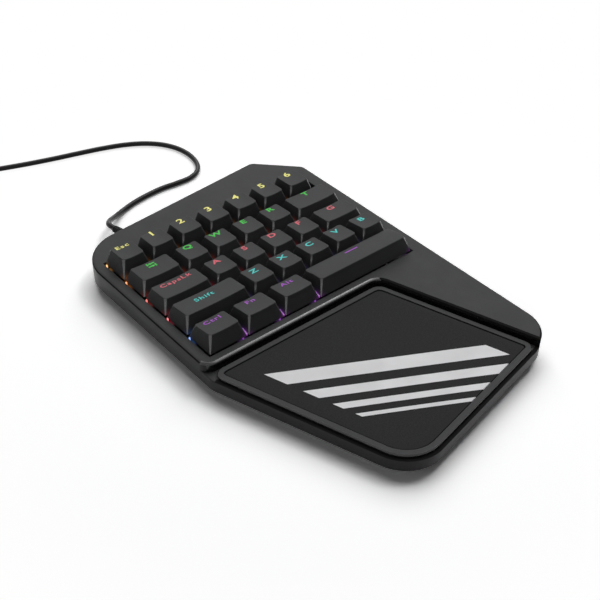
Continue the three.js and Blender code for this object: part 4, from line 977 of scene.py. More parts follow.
tongue_top = SHELL_HEIGHT / 2 - SHELL_WALL - CORD_GAP
tongue_mesh = block(
    (0, TONGUE_HEIGHT / 2 - tongue_top), SHELL_WIDTH - (SHELL_WALL + CORD_GAP) * 2, TONGUE_HEIGHT,
    SHELL_ROOT - TONGUE_LENGTH, SHELL_ROOT + CORD_GAP * 2)
tongue_mesh.transform(plug_turn)
white_nylon = moulded_plastic(
    "white_nylon", (0.62, 0.62, 0.60), 0.45, grain=0.4 * MM, depth=0.01 * MM, specular=0.4, mottle=0.04)
add_piece("plug_tongue", tongue_mesh, [white_nylon])
contact_shape = block((0, 0), CONTACT_WIDTH, CONTACT_LENGTH, -CONTACT_HEIGHT, CONTACT_HEIGHT / 2)
contact_places = [
    plug_middle + Vector((
        CONTACT_PITCH * (k - (CONTACT_COUNT - 1) / 2),
        SHELL_ROOT - TONGUE_LENGTH + CONTACT_LENGTH / 2 + CONTACT_SETBACK,
        tongue_top - TONGUE_HEIGHT,
    )) for k in range(CONTACT_COUNT)
]
gilt = plated_metal("gilt_contact", (0.83, 0.62, 0.28), 0.25, grain=0.3 * MM)
contacts_mesh = copies("plug_contacts", contact_shape, contact_places, gilt)
add_piece("plug_contacts", contacts_mesh, [gilt])
shell_front = SHELL_ROOT - SHELL_LENGTH
shell_edge = SHELL_WALL / 4
shell_mesh = loft([
    shell_ring(-SHELL_WALL, SHELL_ROOT), shell_ring(-SHELL_WALL, shell_front + shell_edge),
    shell_ring(shell_edge - SHELL_WALL, shell_front), shell_ring(-shell_edge, shell_front),
    shell_ring(0, shell_front + shell_edge), shell_ring(0, SHELL_ROOT),
], closed=True)
window_foot = shell_front + SHELL_WINDOW_SETBACK - SHELL_WINDOW / 2
shell_mesh = carve(shell_mesh, [
    block((x, 0), SHELL_WINDOW, SHELL_HEIGHT * 2, window_foot, window_foot + SHELL_WINDOW)
    for x in (-SHELL_WINDOW_SPREAD, SHELL_WINDOW_SPREAD)
])
shell_mesh.transform(plug_turn)
nickel = plated_metal("nickel_plated_steel", (0.66, 0.66, 0.65), 0.28, grain=0.25 * MM)
add_piece("plug_shell", smooth(shell_mesh), [nickel], ["usb_plug_shell"])

# Palm frame: a satin ABS ring laid round the edge of the cover's palm floor, as a border for the
# palm pad. Its outer wall and bevel are polished, and their near-black colour is painted shade.
FRAME_WIDTH = 3.2 * MM
FRAME_BACK_RADIUS = 5 * MM
FRAME_SIDE_RADIUS = 7 * MM
FRAME_TIP_RADIUS = 4.8 * MM
FRAME_LEAST_RADIUS = 1.4 * MM
FRAME_BEVEL = 0.6 * MM
FRAME_INNER_EDGE = 0.25 * MM
FRAME_POLISHED_SHADED_BANDS = 6
palm_slope = PALM_SHIFT / (PALM_LENGTH_LEFT - PALM_START)
front_along = Vector((
    wall_right - wall_left - PALM_SHIFT, PALM_LENGTH_LEFT - PALM_LENGTH_RIGHT)).normalized()
palm_tip = crossing(
    (Vector((wall_right, block_front - PALM_LENGTH_RIGHT)), front_along), (step_corner, step_along))
palm_corners = [
    (wall_left - palm_slope * (PALM_START - RIM_FRONT), rim_front, FRAME_BACK_RADIUS + PALM_INSET, 12),
    (wall_left + PALM_SHIFT, block_front - PALM_LENGTH_LEFT, PALM_LEFT_RADIUS, 28),
    (*palm_tip, FRAME_TIP_RADIUS + PALM_INSET, 12),
    (*step_corner, FRAME_SIDE_RADIUS + PALM_INSET, 12),
]


def palm_outline(inset):
    return rounded(palm_corners, PALM_INSET + inset, FRAME_LEAST_RADIUS)


def inner_outline(inset):
    return palm_outline(FRAME_WIDTH + inset)


frame_foot, frame_top = (corner.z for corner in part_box("palm_frame"))
frame_mesh = loft(
    wall_rings(palm_outline, frame_foot, frame_top, FRAME_BEVEL, FRAME_BEVEL)
    + [ring_at(palm_outline(FRAME_BEVEL + HOLDING_EDGE), frame_top),
       ring_at(inner_outline(-FRAME_INNER_EDGE - HOLDING_EDGE), frame_top)]
    + edge_rings(
        inner_outline, frame_top - FRAME_INNER_EDGE, -FRAME_INNER_EDGE, FRAME_INNER_EDGE, steps=4)[::-1]
    + [ring_at(inner_outline(0), frame_foot)],
    closed=True)
# Painted shade: the bands of the ring's outer wall and bevel get the polished near-black finish.
for face in frame_mesh.polygons:
    if face.index < len(palm_outline(0)) * FRAME_POLISHED_SHADED_BANDS:
        face.material_index = 1
satin_frame = moulded_plastic(
    "satin_frame_plastic", (0.052, 0.0525, 0.054), 0.5, grain=0.35 * MM, depth=0.015 * MM, specular=0.08)
add_piece("palm_ring", smooth(frame_mesh), [satin_frame, polished_shaded_edge], ["palm_frame"])

# Palm pad: a thin foam-backed rubber mat with a fine grain, laid inside the ring and printed with
# plain pale bars.
PAD_GAP = 0.4 * MM
PAD_BEVEL = 0.4 * MM
PAD_CROWN = 0.25 * MM
PAD_CROWN_POWER = 4
PAD_RINGS = 10
PAD_SHARP_EDGE = 60  # degrees
PAD_SPECULAR = 0.06
PAD_ROUGHNESS = (0.72, 0.86)
PAD_GRAIN = 0.45 * MM
PAD_GRAIN_DEPTH = 0.04 * MM
RUBBER_TONES = ((0.024, 0.024, 0.0245), (0.037, 0.037, 0.0375))
INK_TONES = ((0.80, 0.80, 0.81), (0.90, 0.90, 0.91))
INK_PATCH_SIZE = 18 * MM
PRINT_ANGLE = math.radians(28)
PRINT_BARS = [(-20, 2.4), (-12.5, 4.0), (-2.5, 6.0), (11, 9.0)]  # middles and widths
PRINT_MARGIN = 10 * MM
pad_low, pad_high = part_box("palm_pad")
pad_edge = FRAME_WIDTH + PAD_GAP


def pad_outline(inset):
    return palm_outline(pad_edge + inset)


pad_middle = sum(pad_outline(0), Vector((0, 0))) / len(pad_outline(0))
pad_rings = wall_rings(pad_outline, pad_low.z, pad_high.z, PAD_BEVEL, PAD_BEVEL, steps=5)
for k in range(1, PAD_RINGS):
    share = 1 - k / PAD_RINGS
    height = pad_high.z + PAD_CROWN * (1 - share ** PAD_CROWN_POWER)
    pad_rings.append([Vector((*pad_middle.lerp(point, share), height)) for point in pad_outline(PAD_BEVEL)])
printed_mat = new_material("printed_rubber_mat", RUBBER_TONES[0], PAD_ROUGHNESS[1], specular=PAD_SPECULAR)
mat_tree = printed_mat.node_tree
mat_turn = add_node(mat_tree, "ShaderNodeMapping", {
    "Vector": object_place(mat_tree),
    "Rotation": (0, 0, PRINT_ANGLE),
    "Location": -(Matrix.Rotation(PRINT_ANGLE, 3, "Z") @ pad_middle.to_3d()),
})
mat_axes = add_node(mat_tree, "ShaderNodeSeparateXYZ", {"Vector": mat_turn.outputs["Vector"]})
bars = 0.0
for middle, width in PRINT_BARS:
    bar = math_node(mat_tree, "COMPARE", mat_axes.outputs["Y"], middle * MM, width / 2 * MM)
    bars = math_node(mat_tree, "ADD", bar, bars)
for start, end in (palm_corners[:2], palm_corners[2:]):
    along = Vector((end[0] - start[0], end[1] - start[1], 0)).normalized()
    inward = Vector((-along.y, along.x, 0))
    edge = inward.dot(Vector((start[0], start[1], 0))) + pad_edge + PALM_INSET + PRINT_MARGIN
    inside = measure(mat_tree, "DOT_PRODUCT", object_place(mat_tree), inward)
    bars = math_node(mat_tree, "MULTIPLY", bars, math_node(mat_tree, "GREATER_THAN", inside, edge))
mat_grain = noise(mat_tree, PAD_GRAIN)
ink_patches = noise(mat_tree, INK_PATCH_SIZE, PATCH_DETAIL)
rubber_tone = mix_colours(mat_tree, spread(mat_tree, mat_grain, 0.0, 1.0), *RUBBER_TONES)
ink_tone = mix_colours(mat_tree, spread(mat_tree, ink_patches, 0.0, 1.0), *INK_TONES)
set_shader(printed_mat, {
    "Base Color": mix_colours(mat_tree, bars, rubber_tone, ink_tone),
    "Roughness": spread(mat_tree, mat_grain, *PAD_ROUGHNESS),
    "Normal": relief(mat_tree, mat_grain, PAD_GRAIN_DEPTH),
})
pad_mesh = smooth(loft(pad_rings), PAD_SHARP_EDGE)
pad = add_piece("palm_mat", pad_mesh, [printed_mat], ["palm_pad"])

# Bottom cover: a black ABS tray with sloping sides, posts for the board, screw pockets and
# recesses for the feet. Four screws hold it to the top cover.
FOOT_STAND = 1.5 * MM
FLOOR_THICKNESS = 1.8 * MM
TRAY_INSET = 0.5 * MM
TRAY_SLOPE = 4.5 * MM
TRAY_EDGE = 0.8 * MM
POST_RADIUS = 2.5 * MM
POST_SHARES = [(side, depth) for side in (0.08, 0.5, 0.92) for depth in (0.2, 0.8)]
POCKET_RADIUS = 2.7 * MM
SCREW_RECESS = 0.3 * MM
SCREW_HEAD_HEIGHT = 1.3 * MM
FOOT_GAP = 0.3 * MM
FOOT_NAMES = ["rubber_foot_" + place for place in PLACE_NAMES]
floor_top = FOOT_STAND + FLOOR_THICKNESS
half_floor = FOOT_STAND + FLOOR_THICKNESS / 2
tray_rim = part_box("bottom_cover")[1].z
board_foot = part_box("circuit_board")[0].z
boss_top = boss_foot - SEAT_GAP
pocket_top = FOOT_STAND + SCREW_RECESS + SCREW_HEAD_HEIGHT + SEAT_GAP
foot_places = [middle_of(name) for name in FOOT_NAMES]
foot_low, foot_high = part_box(FOOT_NAMES[0])
post_places = [Vector((block_left + side * (block_right - block_left),
                       block_front + depth * (block_back - block_front))) for side, depth in POST_SHARES]


def foot_outline(inset, middle=(0, 0)):
    length, width = foot_high.x - foot_low.x - inset * 2, foot_high.y - foot_low.y - inset * 2
    return rectangle(middle, length, width, width / 2, steps=10)


def tray_ring(inset, z):
    slope = TRAY_SLOPE * (tray_rim - z) / (tray_rim - FOOT_STAND)
    return ring_at(wall_outline(TRAY_INSET + slope + inset), z)


tray_mesh = carve(
    loft([tray_ring(inset, FOOT_STAND + TRAY_EDGE - rise)
          for inset, rise in reversed(rounding(TRAY_EDGE, TRAY_EDGE, steps=5))] + [tray_ring(0, tray_rim)]),
    [loft([tray_ring(WALL, floor_top), tray_ring(WALL, tray_rim),
           ring_at(wall_outline(TRAY_INSET + WALL), tray_rim + OVERRUN)])])
tray_mesh = carve(
    tray_mesh,
    rods(post_places, POST_RADIUS, half_floor, board_foot - SEAT_GAP)
    + rods(screw_places, BOSS_RADIUS + SCREW_CLEARANCE, half_floor, boss_top), "UNION")
tray_mesh = carve(
    tray_mesh,
    rods(screw_places, POCKET_RADIUS, FOOT_STAND - OVERRUN, pocket_top)
    + rods(screw_places, SCREW_RADIUS + SCREW_CLEARANCE, half_floor, boss_top + OVERRUN)
    + [prism(foot_outline(-FOOT_GAP, place), FOOT_STAND - OVERRUN, foot_high.z + FOOT_GAP)
       for place in foot_places])
black_abs = moulded_plastic(
    "textured_black_abs", (0.018, 0.018, 0.0185), 0.62, grain=0.7 * MM, depth=0.05 * MM, specular=0.25)
add_piece("bottom_tray", smooth(tray_mesh), [black_abs], ["bottom_cover"])

# Rubber feet: four soft self-adhesive strips with rounded ends. They are let into recesses in the
# bottom cover, and the keypad stands on them.
FOOT_EDGE = 0.4 * MM
foot_shape = loft(
    edge_rings(foot_outline, FOOT_EDGE, FOOT_EDGE, -FOOT_EDGE, steps=5)[::-1]
    + [ring_at(foot_outline(0), foot_high.z)])
foot_rubber = moulded_plastic(
    "foot_rubber", (0.02, 0.02, 0.0205), 0.8, grain=0.3 * MM, depth=0.02 * MM, specular=0.2)
feet_mesh = copies("rubber_feet", foot_shape, [(place.x, place.y, 0) for place in foot_places], foot_rubber)
add_piece("rubber_feet", smooth(feet_mesh), [foot_rubber], FOOT_NAMES)

# Case screws: four pan heads of zinc-plated steel with a cross recess. They are driven up through
# pockets in the bottom cover into the top cover's bosses.
SCREW_HEAD_RADIUS = 2.3 * MM
SCREW_HEAD_EDGE = 0.5 * MM
SCREW_POINT = 0.6 * MM
SCREW_SEGMENTS = 24
RECESS_SPAN = 2.6 * MM
RECESS_WIDTH = 0.6 * MM
RECESS_DEPTH = 0.8 * MM
head_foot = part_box(SCREW_NAMES[0])[0].z
screw_profile = [(0, head_foot)] + [
    (SCREW_HEAD_RADIUS - inset, head_foot + SCREW_HEAD_EDGE - rise)
    for inset, rise in reversed(rounding(SCREW_HEAD_EDGE, SCREW_HEAD_EDGE, steps=5))
] + [
    (SCREW_HEAD_RADIUS, head_foot + SCREW_HEAD_HEIGHT), (SCREW_RADIUS, head_foot + SCREW_HEAD_HEIGHT),
    (SCREW_RADIUS, screw_top - SCREW_POINT), (SCREW_RADIUS - SCREW_POINT, screw_top), (0, screw_top),
]
cross_arms = [
    block((0, 0), width, depth, head_foot - OVERRUN, head_foot + RECESS_DEPTH)
    for width, depth in ((RECESS_SPAN, RECESS_WIDTH), (RECESS_WIDTH, RECESS_SPAN))
]
screw_shape = carve(lathe(screw_profile, SCREW_SEGMENTS), cross_arms)
zinc = plated_metal("zinc_plated_steel", (0.52, 0.53, 0.54), 0.35, grain=0.3 * MM)
screws_mesh = copies("case_screws", screw_shape, [(place.x, place.y, 0) for place in screw_places], zinc)
add_piece("case_screws", smooth(screws_mesh), [zinc], SCREW_NAMES)

# Switch plate, switches and board: a black painted steel plate holds the plastic switches over the
# circuit board. The light of the lamps on the board is painted on the plate and the switches as a
# glow, from row to row in five colours.
GLOW_COLOURS = [  # from the front edge of the keys to the back edge
    (0.45, 0.03, 0.60), (0.02, 0.20, 0.65), (0.80, 0.01, 0.05), (0.80, 0.03, 0.02), (0.90, 0.22, 0.01),
    (1.00, 0.42, 0.04),
]
FRONT_KEY_PITCHES = 1.25
LAMP_SETBACK = 1.4 * MM
FRONT_LAMP_SETBACK = 2.3 * MM
LAMP_DROP = 1.5 * MM
PLATE_GLOW = 1.2
PLATE_GLOW_REACH = 6 * MM
GLOW_FALLOFF = 2.0
HOUSING_GLOW = 0.8
side_lamps = [(block_left + LAMP_SETBACK, block_front + KEY_PITCH * k) for k in range(1, ROW_COUNT + 1)]
front_lamps = [(block_left + FRONT_KEY_PITCHES * KEY_PITCH * k, block_front + FRONT_LAMP_SETBACK)
               for k in range(1, 4)]
lamp_places = [Vector((x, y, deck_top - LAMP_DROP))
               for x, y in side_lamps + front_lamps + [(block_right, block_front + LAMP_SETBACK)]]


def row_colour(tree):
    """The lamps' colour over the rows of keys, from Object Y."""
    axes = add_node(tree, "ShaderNodeSeparateXYZ", {"Vector": object_place(tree)})
    share = spread(tree, axes.outputs["Y"], 0.0, 1.0, block_front, block_back)
    ramp = add_node(tree, "ShaderNodeValToRGB", {0: share})
    stops = ramp.color_ramp.elements
    while len(stops) < len(GLOW_COLOURS):
        stops.new(0.5)
    for k, (stop, colour) in enumerate(zip(stops, GLOW_COLOURS)):
        stop.position = k / (len(GLOW_COLOURS) - 1)
        stop.color = (*colour, 1)
    return ramp.outputs["Color"]


def lamp_light(tree, reach, places):
    """Painted lamp light: the lamps' colour where a lamp is near, fading to black at its reach."""
    place = object_place(tree)
    nearest = reach
    for lamp_place in places:
        nearest = math_node(tree, "MINIMUM", measure(tree, "DISTANCE", place, lamp_place), nearest)
    strength = math_node(tree, "POWER", spread(tree, nearest, 1.0, 0.0, 0.0, reach), GLOW_FALLOFF)
    return mix_colours(tree, strength, BLACK, row_colour(tree))


# Paints the lamps' light on a material as a glow in its emission.
def lit_from_below(material, glow, reach, places):
    set_shader(material, {
        "Emission Color": lamp_light(material.node_tree, reach, places), "Emission Strength": glow})
    return material


def repaint(material, *names):
    for name in names:
        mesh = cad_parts[name].data
        mesh.materials.clear()
        mesh.materials.append(material)


painted_plate = moulded_plastic(
    "painted_plate", (0.02, 0.02, 0.02), 0.5, grain=0.5 * MM, depth=0.01 * MM, specular=0.3)
switch_plastic = moulded_plastic(
    "switch_plastic", (0.03, 0.03, 0.032), 0.4, grain=0.6 * MM, depth=0.01 * MM, specular=0.3)
solder_mask = moulded_plastic(
    "solder_mask", (0.012, 0.06, 0.022), 0.4, grain=0.8 * MM, depth=0.01 * MM, specular=0.5)
chip_epoxy = moulded_plastic(
    "chip_epoxy", (0.02, 0.02, 0.02), 0.5, grain=0.2 * MM, depth=0.01 * MM, specular=0.3)
cream_nylon = moulded_plastic(
    "cream_nylon", (0.6, 0.57, 0.48), 0.5, grain=0.4 * MM, depth=0.01 * MM, specular=0.4, mottle=0.04)
repaint(lit_from_below(painted_plate, PLATE_GLOW, PLATE_GLOW_REACH, lamp_places), "switch_plate")
repaint(lit_from_below(switch_plastic, HOUSING_GLOW, PLATE_GLOW_REACH, lamp_places),
        "switch_row_1", "switch_row_2", "switch_row_3", "switch_row_4", "switch_row_5", "switch_space")
repaint(plated_metal("spring_steel", (0.5, 0.5, 0.5), 0.3, grain=0.3 * MM), "stabiliser_wire")
repaint(solder_mask, "circuit_board")
repaint(chip_epoxy, "controller_chip")
repaint(cream_nylon, "cable_socket")

inner_start = exit_place + exit_normal * (flange_back - CORD_GAP)
inner_end = Vector((inner_start.x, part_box("inner_lead")[0].y, inner_start.z))
inner_mesh = rod((0, 0), CABLE_DIAMETER / 2, 0, inner_start.y - inner_end.y)
inner_mesh.transform(Matrix.Translation(inner_end) @ Matrix.Rotation(-math.pi / 2, 4, "X"))
add_piece("inner_lead_end", smooth(inner_mesh), [soft_pvc], ["inner_lead"])

# Lamps: glowing pieces that paint the light seen through the gaps between the caps, in bright
# points between the rows at the left, and in thin fins between the keys of the front row.
LAMP_RADIUS = 0.45 * MM
LAMP_SEGMENTS = 12
LAMP_SUNK_SHARE = 0.125
LAMP_FIN_HALF = 0.28 * MM
LAMP_FIN_STEM = 0.8 * MM
LAMP_FIN_FRONT = -1.2 * MM
LAMP_FIN_BACK = 2.6 * MM
LAMP_FIN_RISE = 1.9 * MM
GAP_GLOW_BODY_COLOUR = (0.04, 0.04, 0.04)
GAP_GLOW_ROUGHNESS = 0.3
GAP_GLOW_GRAIN = 0.5 * MM
GAP_GLOW_WHITE = (1.0, 0.9, 0.8)
plate_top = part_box("switch_plate")[1].z
lamp_rise = deck_top - LAMP_DROP - plate_top
lamp_foot = -lamp_rise * LAMP_SUNK_SHARE
lamp_profile = [(0, lamp_foot), (LAMP_RADIUS, lamp_foot)] + [
    (LAMP_RADIUS - inset, lamp_rise - LAMP_RADIUS + rise)
    for inset, rise in rounding(LAMP_RADIUS, LAMP_RADIUS, steps=4)[:-1]
] + [(0, lamp_rise)]
fin_top = deck_top - plate_top
fin_under = fin_top - LAMP_FIN_RISE / 4
fin_stem = LAMP_FIN_BACK - LAMP_FIN_STEM
fin_profile = [  # along the keypad's length and height
    (fin_stem, lamp_foot), (LAMP_FIN_BACK, lamp_foot), (LAMP_FIN_BACK, fin_top + LAMP_FIN_RISE),
    (LAMP_FIN_FRONT, fin_top + LAMP_FIN_RISE / 4), (LAMP_FIN_FRONT, fin_under), (fin_stem, fin_under),
]
fin_shape = loft([[Vector((x, y, z)) for y, z in fin_profile] for x in (-LAMP_FIN_HALF, LAMP_FIN_HALF)])


def gap_glow_plastic(name, least_white, most_white, strength):
    """Painted light: dark plastic that glows in its row's colour, paled towards white."""
    material = new_material(name, GAP_GLOW_BODY_COLOUR, GAP_GLOW_ROUGHNESS)
    tree = material.node_tree
    whiteness = spread(tree, noise(tree, GAP_GLOW_GRAIN), least_white, most_white)
    set_shader(material, {
        "Emission Color": mix_colours(tree, whiteness, row_colour(tree), GAP_GLOW_WHITE),
        "Emission Strength": strength,
    })
    return material


side_gap_glow = gap_glow_plastic("side_lamp_lens", least_white=0.08, most_white=0.30, strength=1.6)
front_gap_glow = gap_glow_plastic("front_lamp_lens", least_white=0.0, most_white=0.06, strength=0.55)
for name, shape, places, lens in (
        ("side_lamps", lathe(lamp_profile, LAMP_SEGMENTS), side_lamps, side_gap_glow),
        ("front_lamps", fin_shape, front_lamps, front_gap_glow)):
    lamps_mesh = copies(name, shape, [(x, y, plate_top) for x, y in places], lens)
    add_piece(name, smooth(lamps_mesh), [lens])

# Keycaps: hollow ABS caps of the sculpted, cylinder-topped kind, each on its switch's slider. The
# space bar's top is crowned instead, and it has a foot over each end of its stabiliser.
CAP_HEIGHT = 10 * MM
CAP_WALL = 1.4 * MM
CAP_TOP = 1.15 * MM
CAP_DISH = 0.55 * MM
CAP_CROWN = 0.5 * MM
CAP_TOP_SIDE_INSET = 2.9 * MM
CAP_TOP_FRONT_INSET = 3.4 * MM
CAP_TOP_BACK_INSET = 1.9 * MM
CAP_EDGE = 0.45 * MM
CAP_FOOT_RADIUS = 0.7 * MM
CAP_TOP_RADIUS = 1.7 * MM
CAP_CORNER_STEPS = 6
CAP_END_STEPS = 10
CAP_SIDE_STEPS = 3
CAP_SIDE_SHARES = (0.33, 0.66)
CAP_TOP_SHARES = (0.94, 0.8, 0.6, 0.4, 0.2, 0.02)
CAP_SHARP_EDGE = 35  # degrees
CORNER_SHARE = 0.75
CORNER_TILT = 0.7
CAP_GLOW = 0.22
CAP_GLOW_REACH = 6.0 * MM
KEY_LAMP_SETBACK = 5 * MM
KEY_LAMP_DROP = 2.2 * MM
STEM_WIDTH = 5.6 * MM
STEM_CORNER = 0.5 * MM
KEY_TRAVEL = 4 * MM
STABILISER_REACH = 19.05 * MM
STABILISER_FOOT_WIDTH = 3 * MM
STABILISER_FOOT_DEPTH = 4 * MM
STABILISER_FOOT_DROP = 2.69 * MM
KEY_ROWS = [  # names, widths in pitches, and the height of the front and back as shares
    (("esc", "1", "2", "3", "4", "5", "6"), (1, 1, 1, 1, 1, 1, 1), 1.0, 0.94),
    (("tab", "q", "w", "e", "r", "t"), (1.5, 1, 1, 1, 1, 1.75), 0.79, 0.73),
    (("caps_lock", "a", "s", "d", "f", "g"), (1.75, 1, 1, 1, 1, 1.5), 0.76, 0.67),
    (("shift", "z", "x", "c", "v", "b"), (2.25, 1, 1, 1, 1, 1), 0.92, 0.76),
    (("ctrl", "fn", "alt", "space"), (*[FRONT_KEY_PITCHES] * 3, 3.5), 0.92, 0.72),
]


class Key:
    """A key's place in the block and the outlines and height of its cap."""

    def __init__(self, name, row, left, width, front_share, back_share):
        self.name, self.row, self.left, self.width = name, row, left, width
        self.front_height, self.back_height = CAP_HEIGHT * front_share, CAP_HEIGHT * back_share
        self.front = block_front + (ROW_COUNT - 1 - row) * KEY_PITCH
        self.middle_x = left + width / 2
        self.middle_y = self.front + KEY_PITCH / 2

    def top(self, x, y):
        """Height of the cap's top over a place, which runs on level past its edges."""
        front = self.front + CAP_TOP_FRONT_INSET
        back = self.front + KEY_PITCH - CAP_TOP_BACK_INSET
        share = min(max((y - front) / (back - front), 0), 1)
        height = self.front_height + (self.back_height - self.front_height) * share
        if self.name == "space":
            return deck_top + height - CAP_CROWN * (2 * share - 1) ** 2
        half = self.width / 2 - CAP_TOP_SIDE_INSET
        across = min(abs(x - self.middle_x) / half, 1)
        return deck_top + height - CAP_DISH * (1 - across ** 2)

    def outline(self, side, front, back, radius):
        """Points round the cap, with steps along its edges too so that they can follow its top."""
        low_x, high_x = self.left + side, self.left + self.width - side
        low_y, high_y = self.front + front, self.front + KEY_PITCH - back
        centres = ((low_x + radius, low_y + radius), (high_x - radius, low_y + radius),
                   (high_x - radius, high_y - radius), (low_x + radius, high_y - radius))
        corners = [arc(centre, radius, start, start + 90, CAP_CORNER_STEPS)
                   for centre, start in zip(centres, (180, 270, 0, 90))]
        points = []
        for k, (corner, after) in enumerate(zip(corners, corners[1:] + corners[:1])):
            steps = CAP_SIDE_STEPS if k % 2 else CAP_END_STEPS
            points += corner + [corner[-1].lerp(after[0], step / steps) for step in range(1, steps)]
        return points

    def foot_outline(self, grow=0.0, share=0.0):
        """Round the cap's foot, or drawn in by a share of the way to its top."""
        insets = [CAP_INSET + (top - CAP_INSET) * share + grow
                  for top in (CAP_TOP_SIDE_INSET, CAP_TOP_FRONT_INSET, CAP_TOP_BACK_INSET)]
        return self.outline(*insets, CAP_FOOT_RADIUS)

    def top_outline(self, inset=0.0):
        return self.outline(CAP_TOP_SIDE_INSET + inset, CAP_TOP_FRONT_INSET + inset,
                            CAP_TOP_BACK_INSET + inset, CAP_TOP_RADIUS - inset)

    def top_ring(self, points, rise=0.0):
        return [Vector((*point, self.top(*point) + rise)) for point in points]


keys = []
for row, (names, widths, front_share, back_share) in enumerate(KEY_ROWS):
    left = block_left
    for name, width in zip(names, widths):
        keys.append(Key(name, row, left, width * KEY_PITCH, front_share, back_share))
        left += width * KEY_PITCH


def keycap_mesh(key):
    ceiling = min(key.front_height, key.back_height) - CAP_DISH - CAP_TOP
    inner_share = ceiling / max(key.front_height, key.back_height)
    rings = [
        ring_at(key.foot_outline(CAP_WALL, inner_share), deck_top + ceiling),
        ring_at(key.foot_outline(CAP_WALL), deck_top),
        ring_at(key.foot_outline(HOLDING_EDGE), deck_top),
        ring_at(key.foot_outline(), deck_top + HOLDING_EDGE),
    ]
    for share in CAP_SIDE_SHARES:
        rings.append([
            Vector((*foot.lerp(top, share), deck_top + (key.top(*top) - CAP_EDGE - deck_top) * share))
            for foot, top in zip(key.foot_outline(), key.top_outline())
        ])
    for inset, rise in rounding(CAP_EDGE, CAP_EDGE, steps=5):
        rings.append(key.top_ring(key.top_outline(inset), rise - CAP_EDGE))
    rim = [point.to_2d() for point in rings[-1]]
    top_middle_y = (key.front * 2 + KEY_PITCH + CAP_TOP_FRONT_INSET - CAP_TOP_BACK_INSET) / 2
    middle = Vector((key.middle_x, top_middle_y))
    for share in CAP_TOP_SHARES:
        rings.append(key.top_ring([middle.lerp(point, share) for point in rim]))
    inside_top = deck_top + ceiling + CAP_TOP / 2
    stem = rectangle((key.middle_x, key.middle_y), STEM_WIDTH, STEM_WIDTH, STEM_CORNER)
    stems = [prism(stem, deck_top - KEY_TRAVEL, inside_top)]
    if key.name == "space":
        stems += [
            block((key.middle_x + reach, key.middle_y), STABILISER_FOOT_WIDTH, STABILISER_FOOT_DEPTH,
                  deck_top - STABILISER_FOOT_DROP, inside_top)
            for reach in (-STABILISER_REACH, STABILISER_REACH)
        ]
    mesh = smooth(carve(loft(rings), stems, "UNION"), CAP_SHARP_EDGE)
    for face in mesh.polygons:
        place, normal = face.center, face.normal
        beside = max(abs(place.x - key.middle_x), abs(place.y - key.middle_y))
        if beside < STEM_WIDTH / 2 + HOLDING_EDGE and place.z < deck_top + ceiling:
            face.material_index = 1
        # Painted highlight: the caps' upright corners get a lighter, glossier finish, which shows as thin
        # light lines.
        elif (abs(abs(normal.x) - abs(normal.y)) < CORNER_SHARE and abs(normal.z) < CORNER_TILT
              and place.z > deck_top + HOLDING_EDGE):
            face.material_index = 2
    return mesh


cap_abs = moulded_plastic(
    "cap_abs", (0.050, 0.0505, 0.052), 0.5, grain=0.3 * MM, depth=0.012 * MM, specular=0.08, mottle=0.06)
slider_acetal = moulded_plastic(
    "slider_acetal", (0.30, 0.012, 0.012), 0.4, grain=0.4 * MM, depth=0.006 * MM, specular=0.4)
# Corner finish: lighter and glossier than the cap, a painted highlight.
corner_highlight_finish = moulded_plastic(
    "rubbed_cap_corner", (0.06, 0.0605, 0.062), 0.22, grain=0.8 * MM, depth=0.001 * MM, specular=0.8)
# Painted light: the caps glow in the lamps' colour on their lower sides, near the lamps and near a point
# under each key's left edge.
under_keys = [Vector((key.left, key.front + KEY_LAMP_SETBACK, deck_top - KEY_LAMP_DROP))
              for key in keys if key.left > block_left]
lit_from_below(cap_abs, CAP_GLOW, CAP_GLOW_REACH, lamp_places + under_keys)
for key in keys:
    node = "key_" + key.name
    finishes = [cap_abs, slider_acetal, corner_highlight_finish]
    add_piece("cap_" + key.name, keycap_mesh(key), finishes, [node], body=node)

# Legends: windows of clear plastic moulded through the caps. They are lit from below, so each row
# has its lamps' colour.
LEGEND_HEIGHT = 3.5 * MM
LEGEND_STRETCH = 1.42
LEGEND_BOLDNESS = 0.12 * MM
DIGIT_HEIGHT = 4.4 * MM
DIGIT_STRETCH = 1.35
WORD_HEIGHT = 2.8 * MM
WORD_STRETCH = 1.4
WORD_SPACING = 1.2
WORD_BOLDNESS = 0.055 * MM
FONT_CAPITAL_SHARE = 0.73
FONT_STEPS = 4
LEGEND_PROUD = 0.06 * MM
SHIFT_WORD_MOVE = (-1.9 * MM, -1.0 * MM)
LEGEND_DEPTHS = [15.2 * MM, 14.5 * MM, 14.2 * MM, 13.0 * MM, 14.0 * MM]
LEGEND_COLOURS = [
    (0.78, 0.74, 0.20), (0.01, 0.45, 0.02), (0.56, 0.07, 0.10), (0.03, 0.50, 0.46), (0.30, 0.04, 0.44),
]
LEGEND_GLOW = 0.70
LEGEND_ROUGHNESS = 0.45
LEGEND_SPECULAR = 0.3
LEGEND_BODY_SHARE = 0.4
LEGEND_DIM_SHARE = 0.75
LEGEND_PATCH_SIZE = 1.6 * MM
TAB_SIGN_WIDTH = 4.8 * MM
TAB_SIGN_LINE = 0.8 * MM
TAB_SIGN_BAR = 2.1 * MM
TAB_SIGN_SPREAD = 1.15 * MM
TAB_SIGN_DROP = 1.0 * MM
TAB_ARROW_HEAD = 1.6 * MM
TAB_ARROW_HALF = 0.96 * MM
SPACE_SIGN_LENGTH = 9 * MM
SPACE_SIGN_LINE = 0.8 * MM
LEGENDS = {"esc": "Esc", "caps_lock": "CapsLk", "shift": "Shift", "ctrl": "Ctrl", "fn": "Fn", "alt": "Alt"}


def legend_material(name, colour):
    body = shade(colour, LEGEND_BODY_SHARE)
    material = new_material(name, body, LEGEND_ROUGHNESS, specular=LEGEND_SPECULAR)
    tree = material.node_tree
    uneven = spread(tree, noise(tree, LEGEND_PATCH_SIZE), 0.0, 1.0)
    set_shader(material, {
        "Emission Color": mix_colours(tree, uneven, shade(colour, LEGEND_DIM_SHARE), colour),
        "Emission Strength": LEGEND_GLOW,
    })
    return material


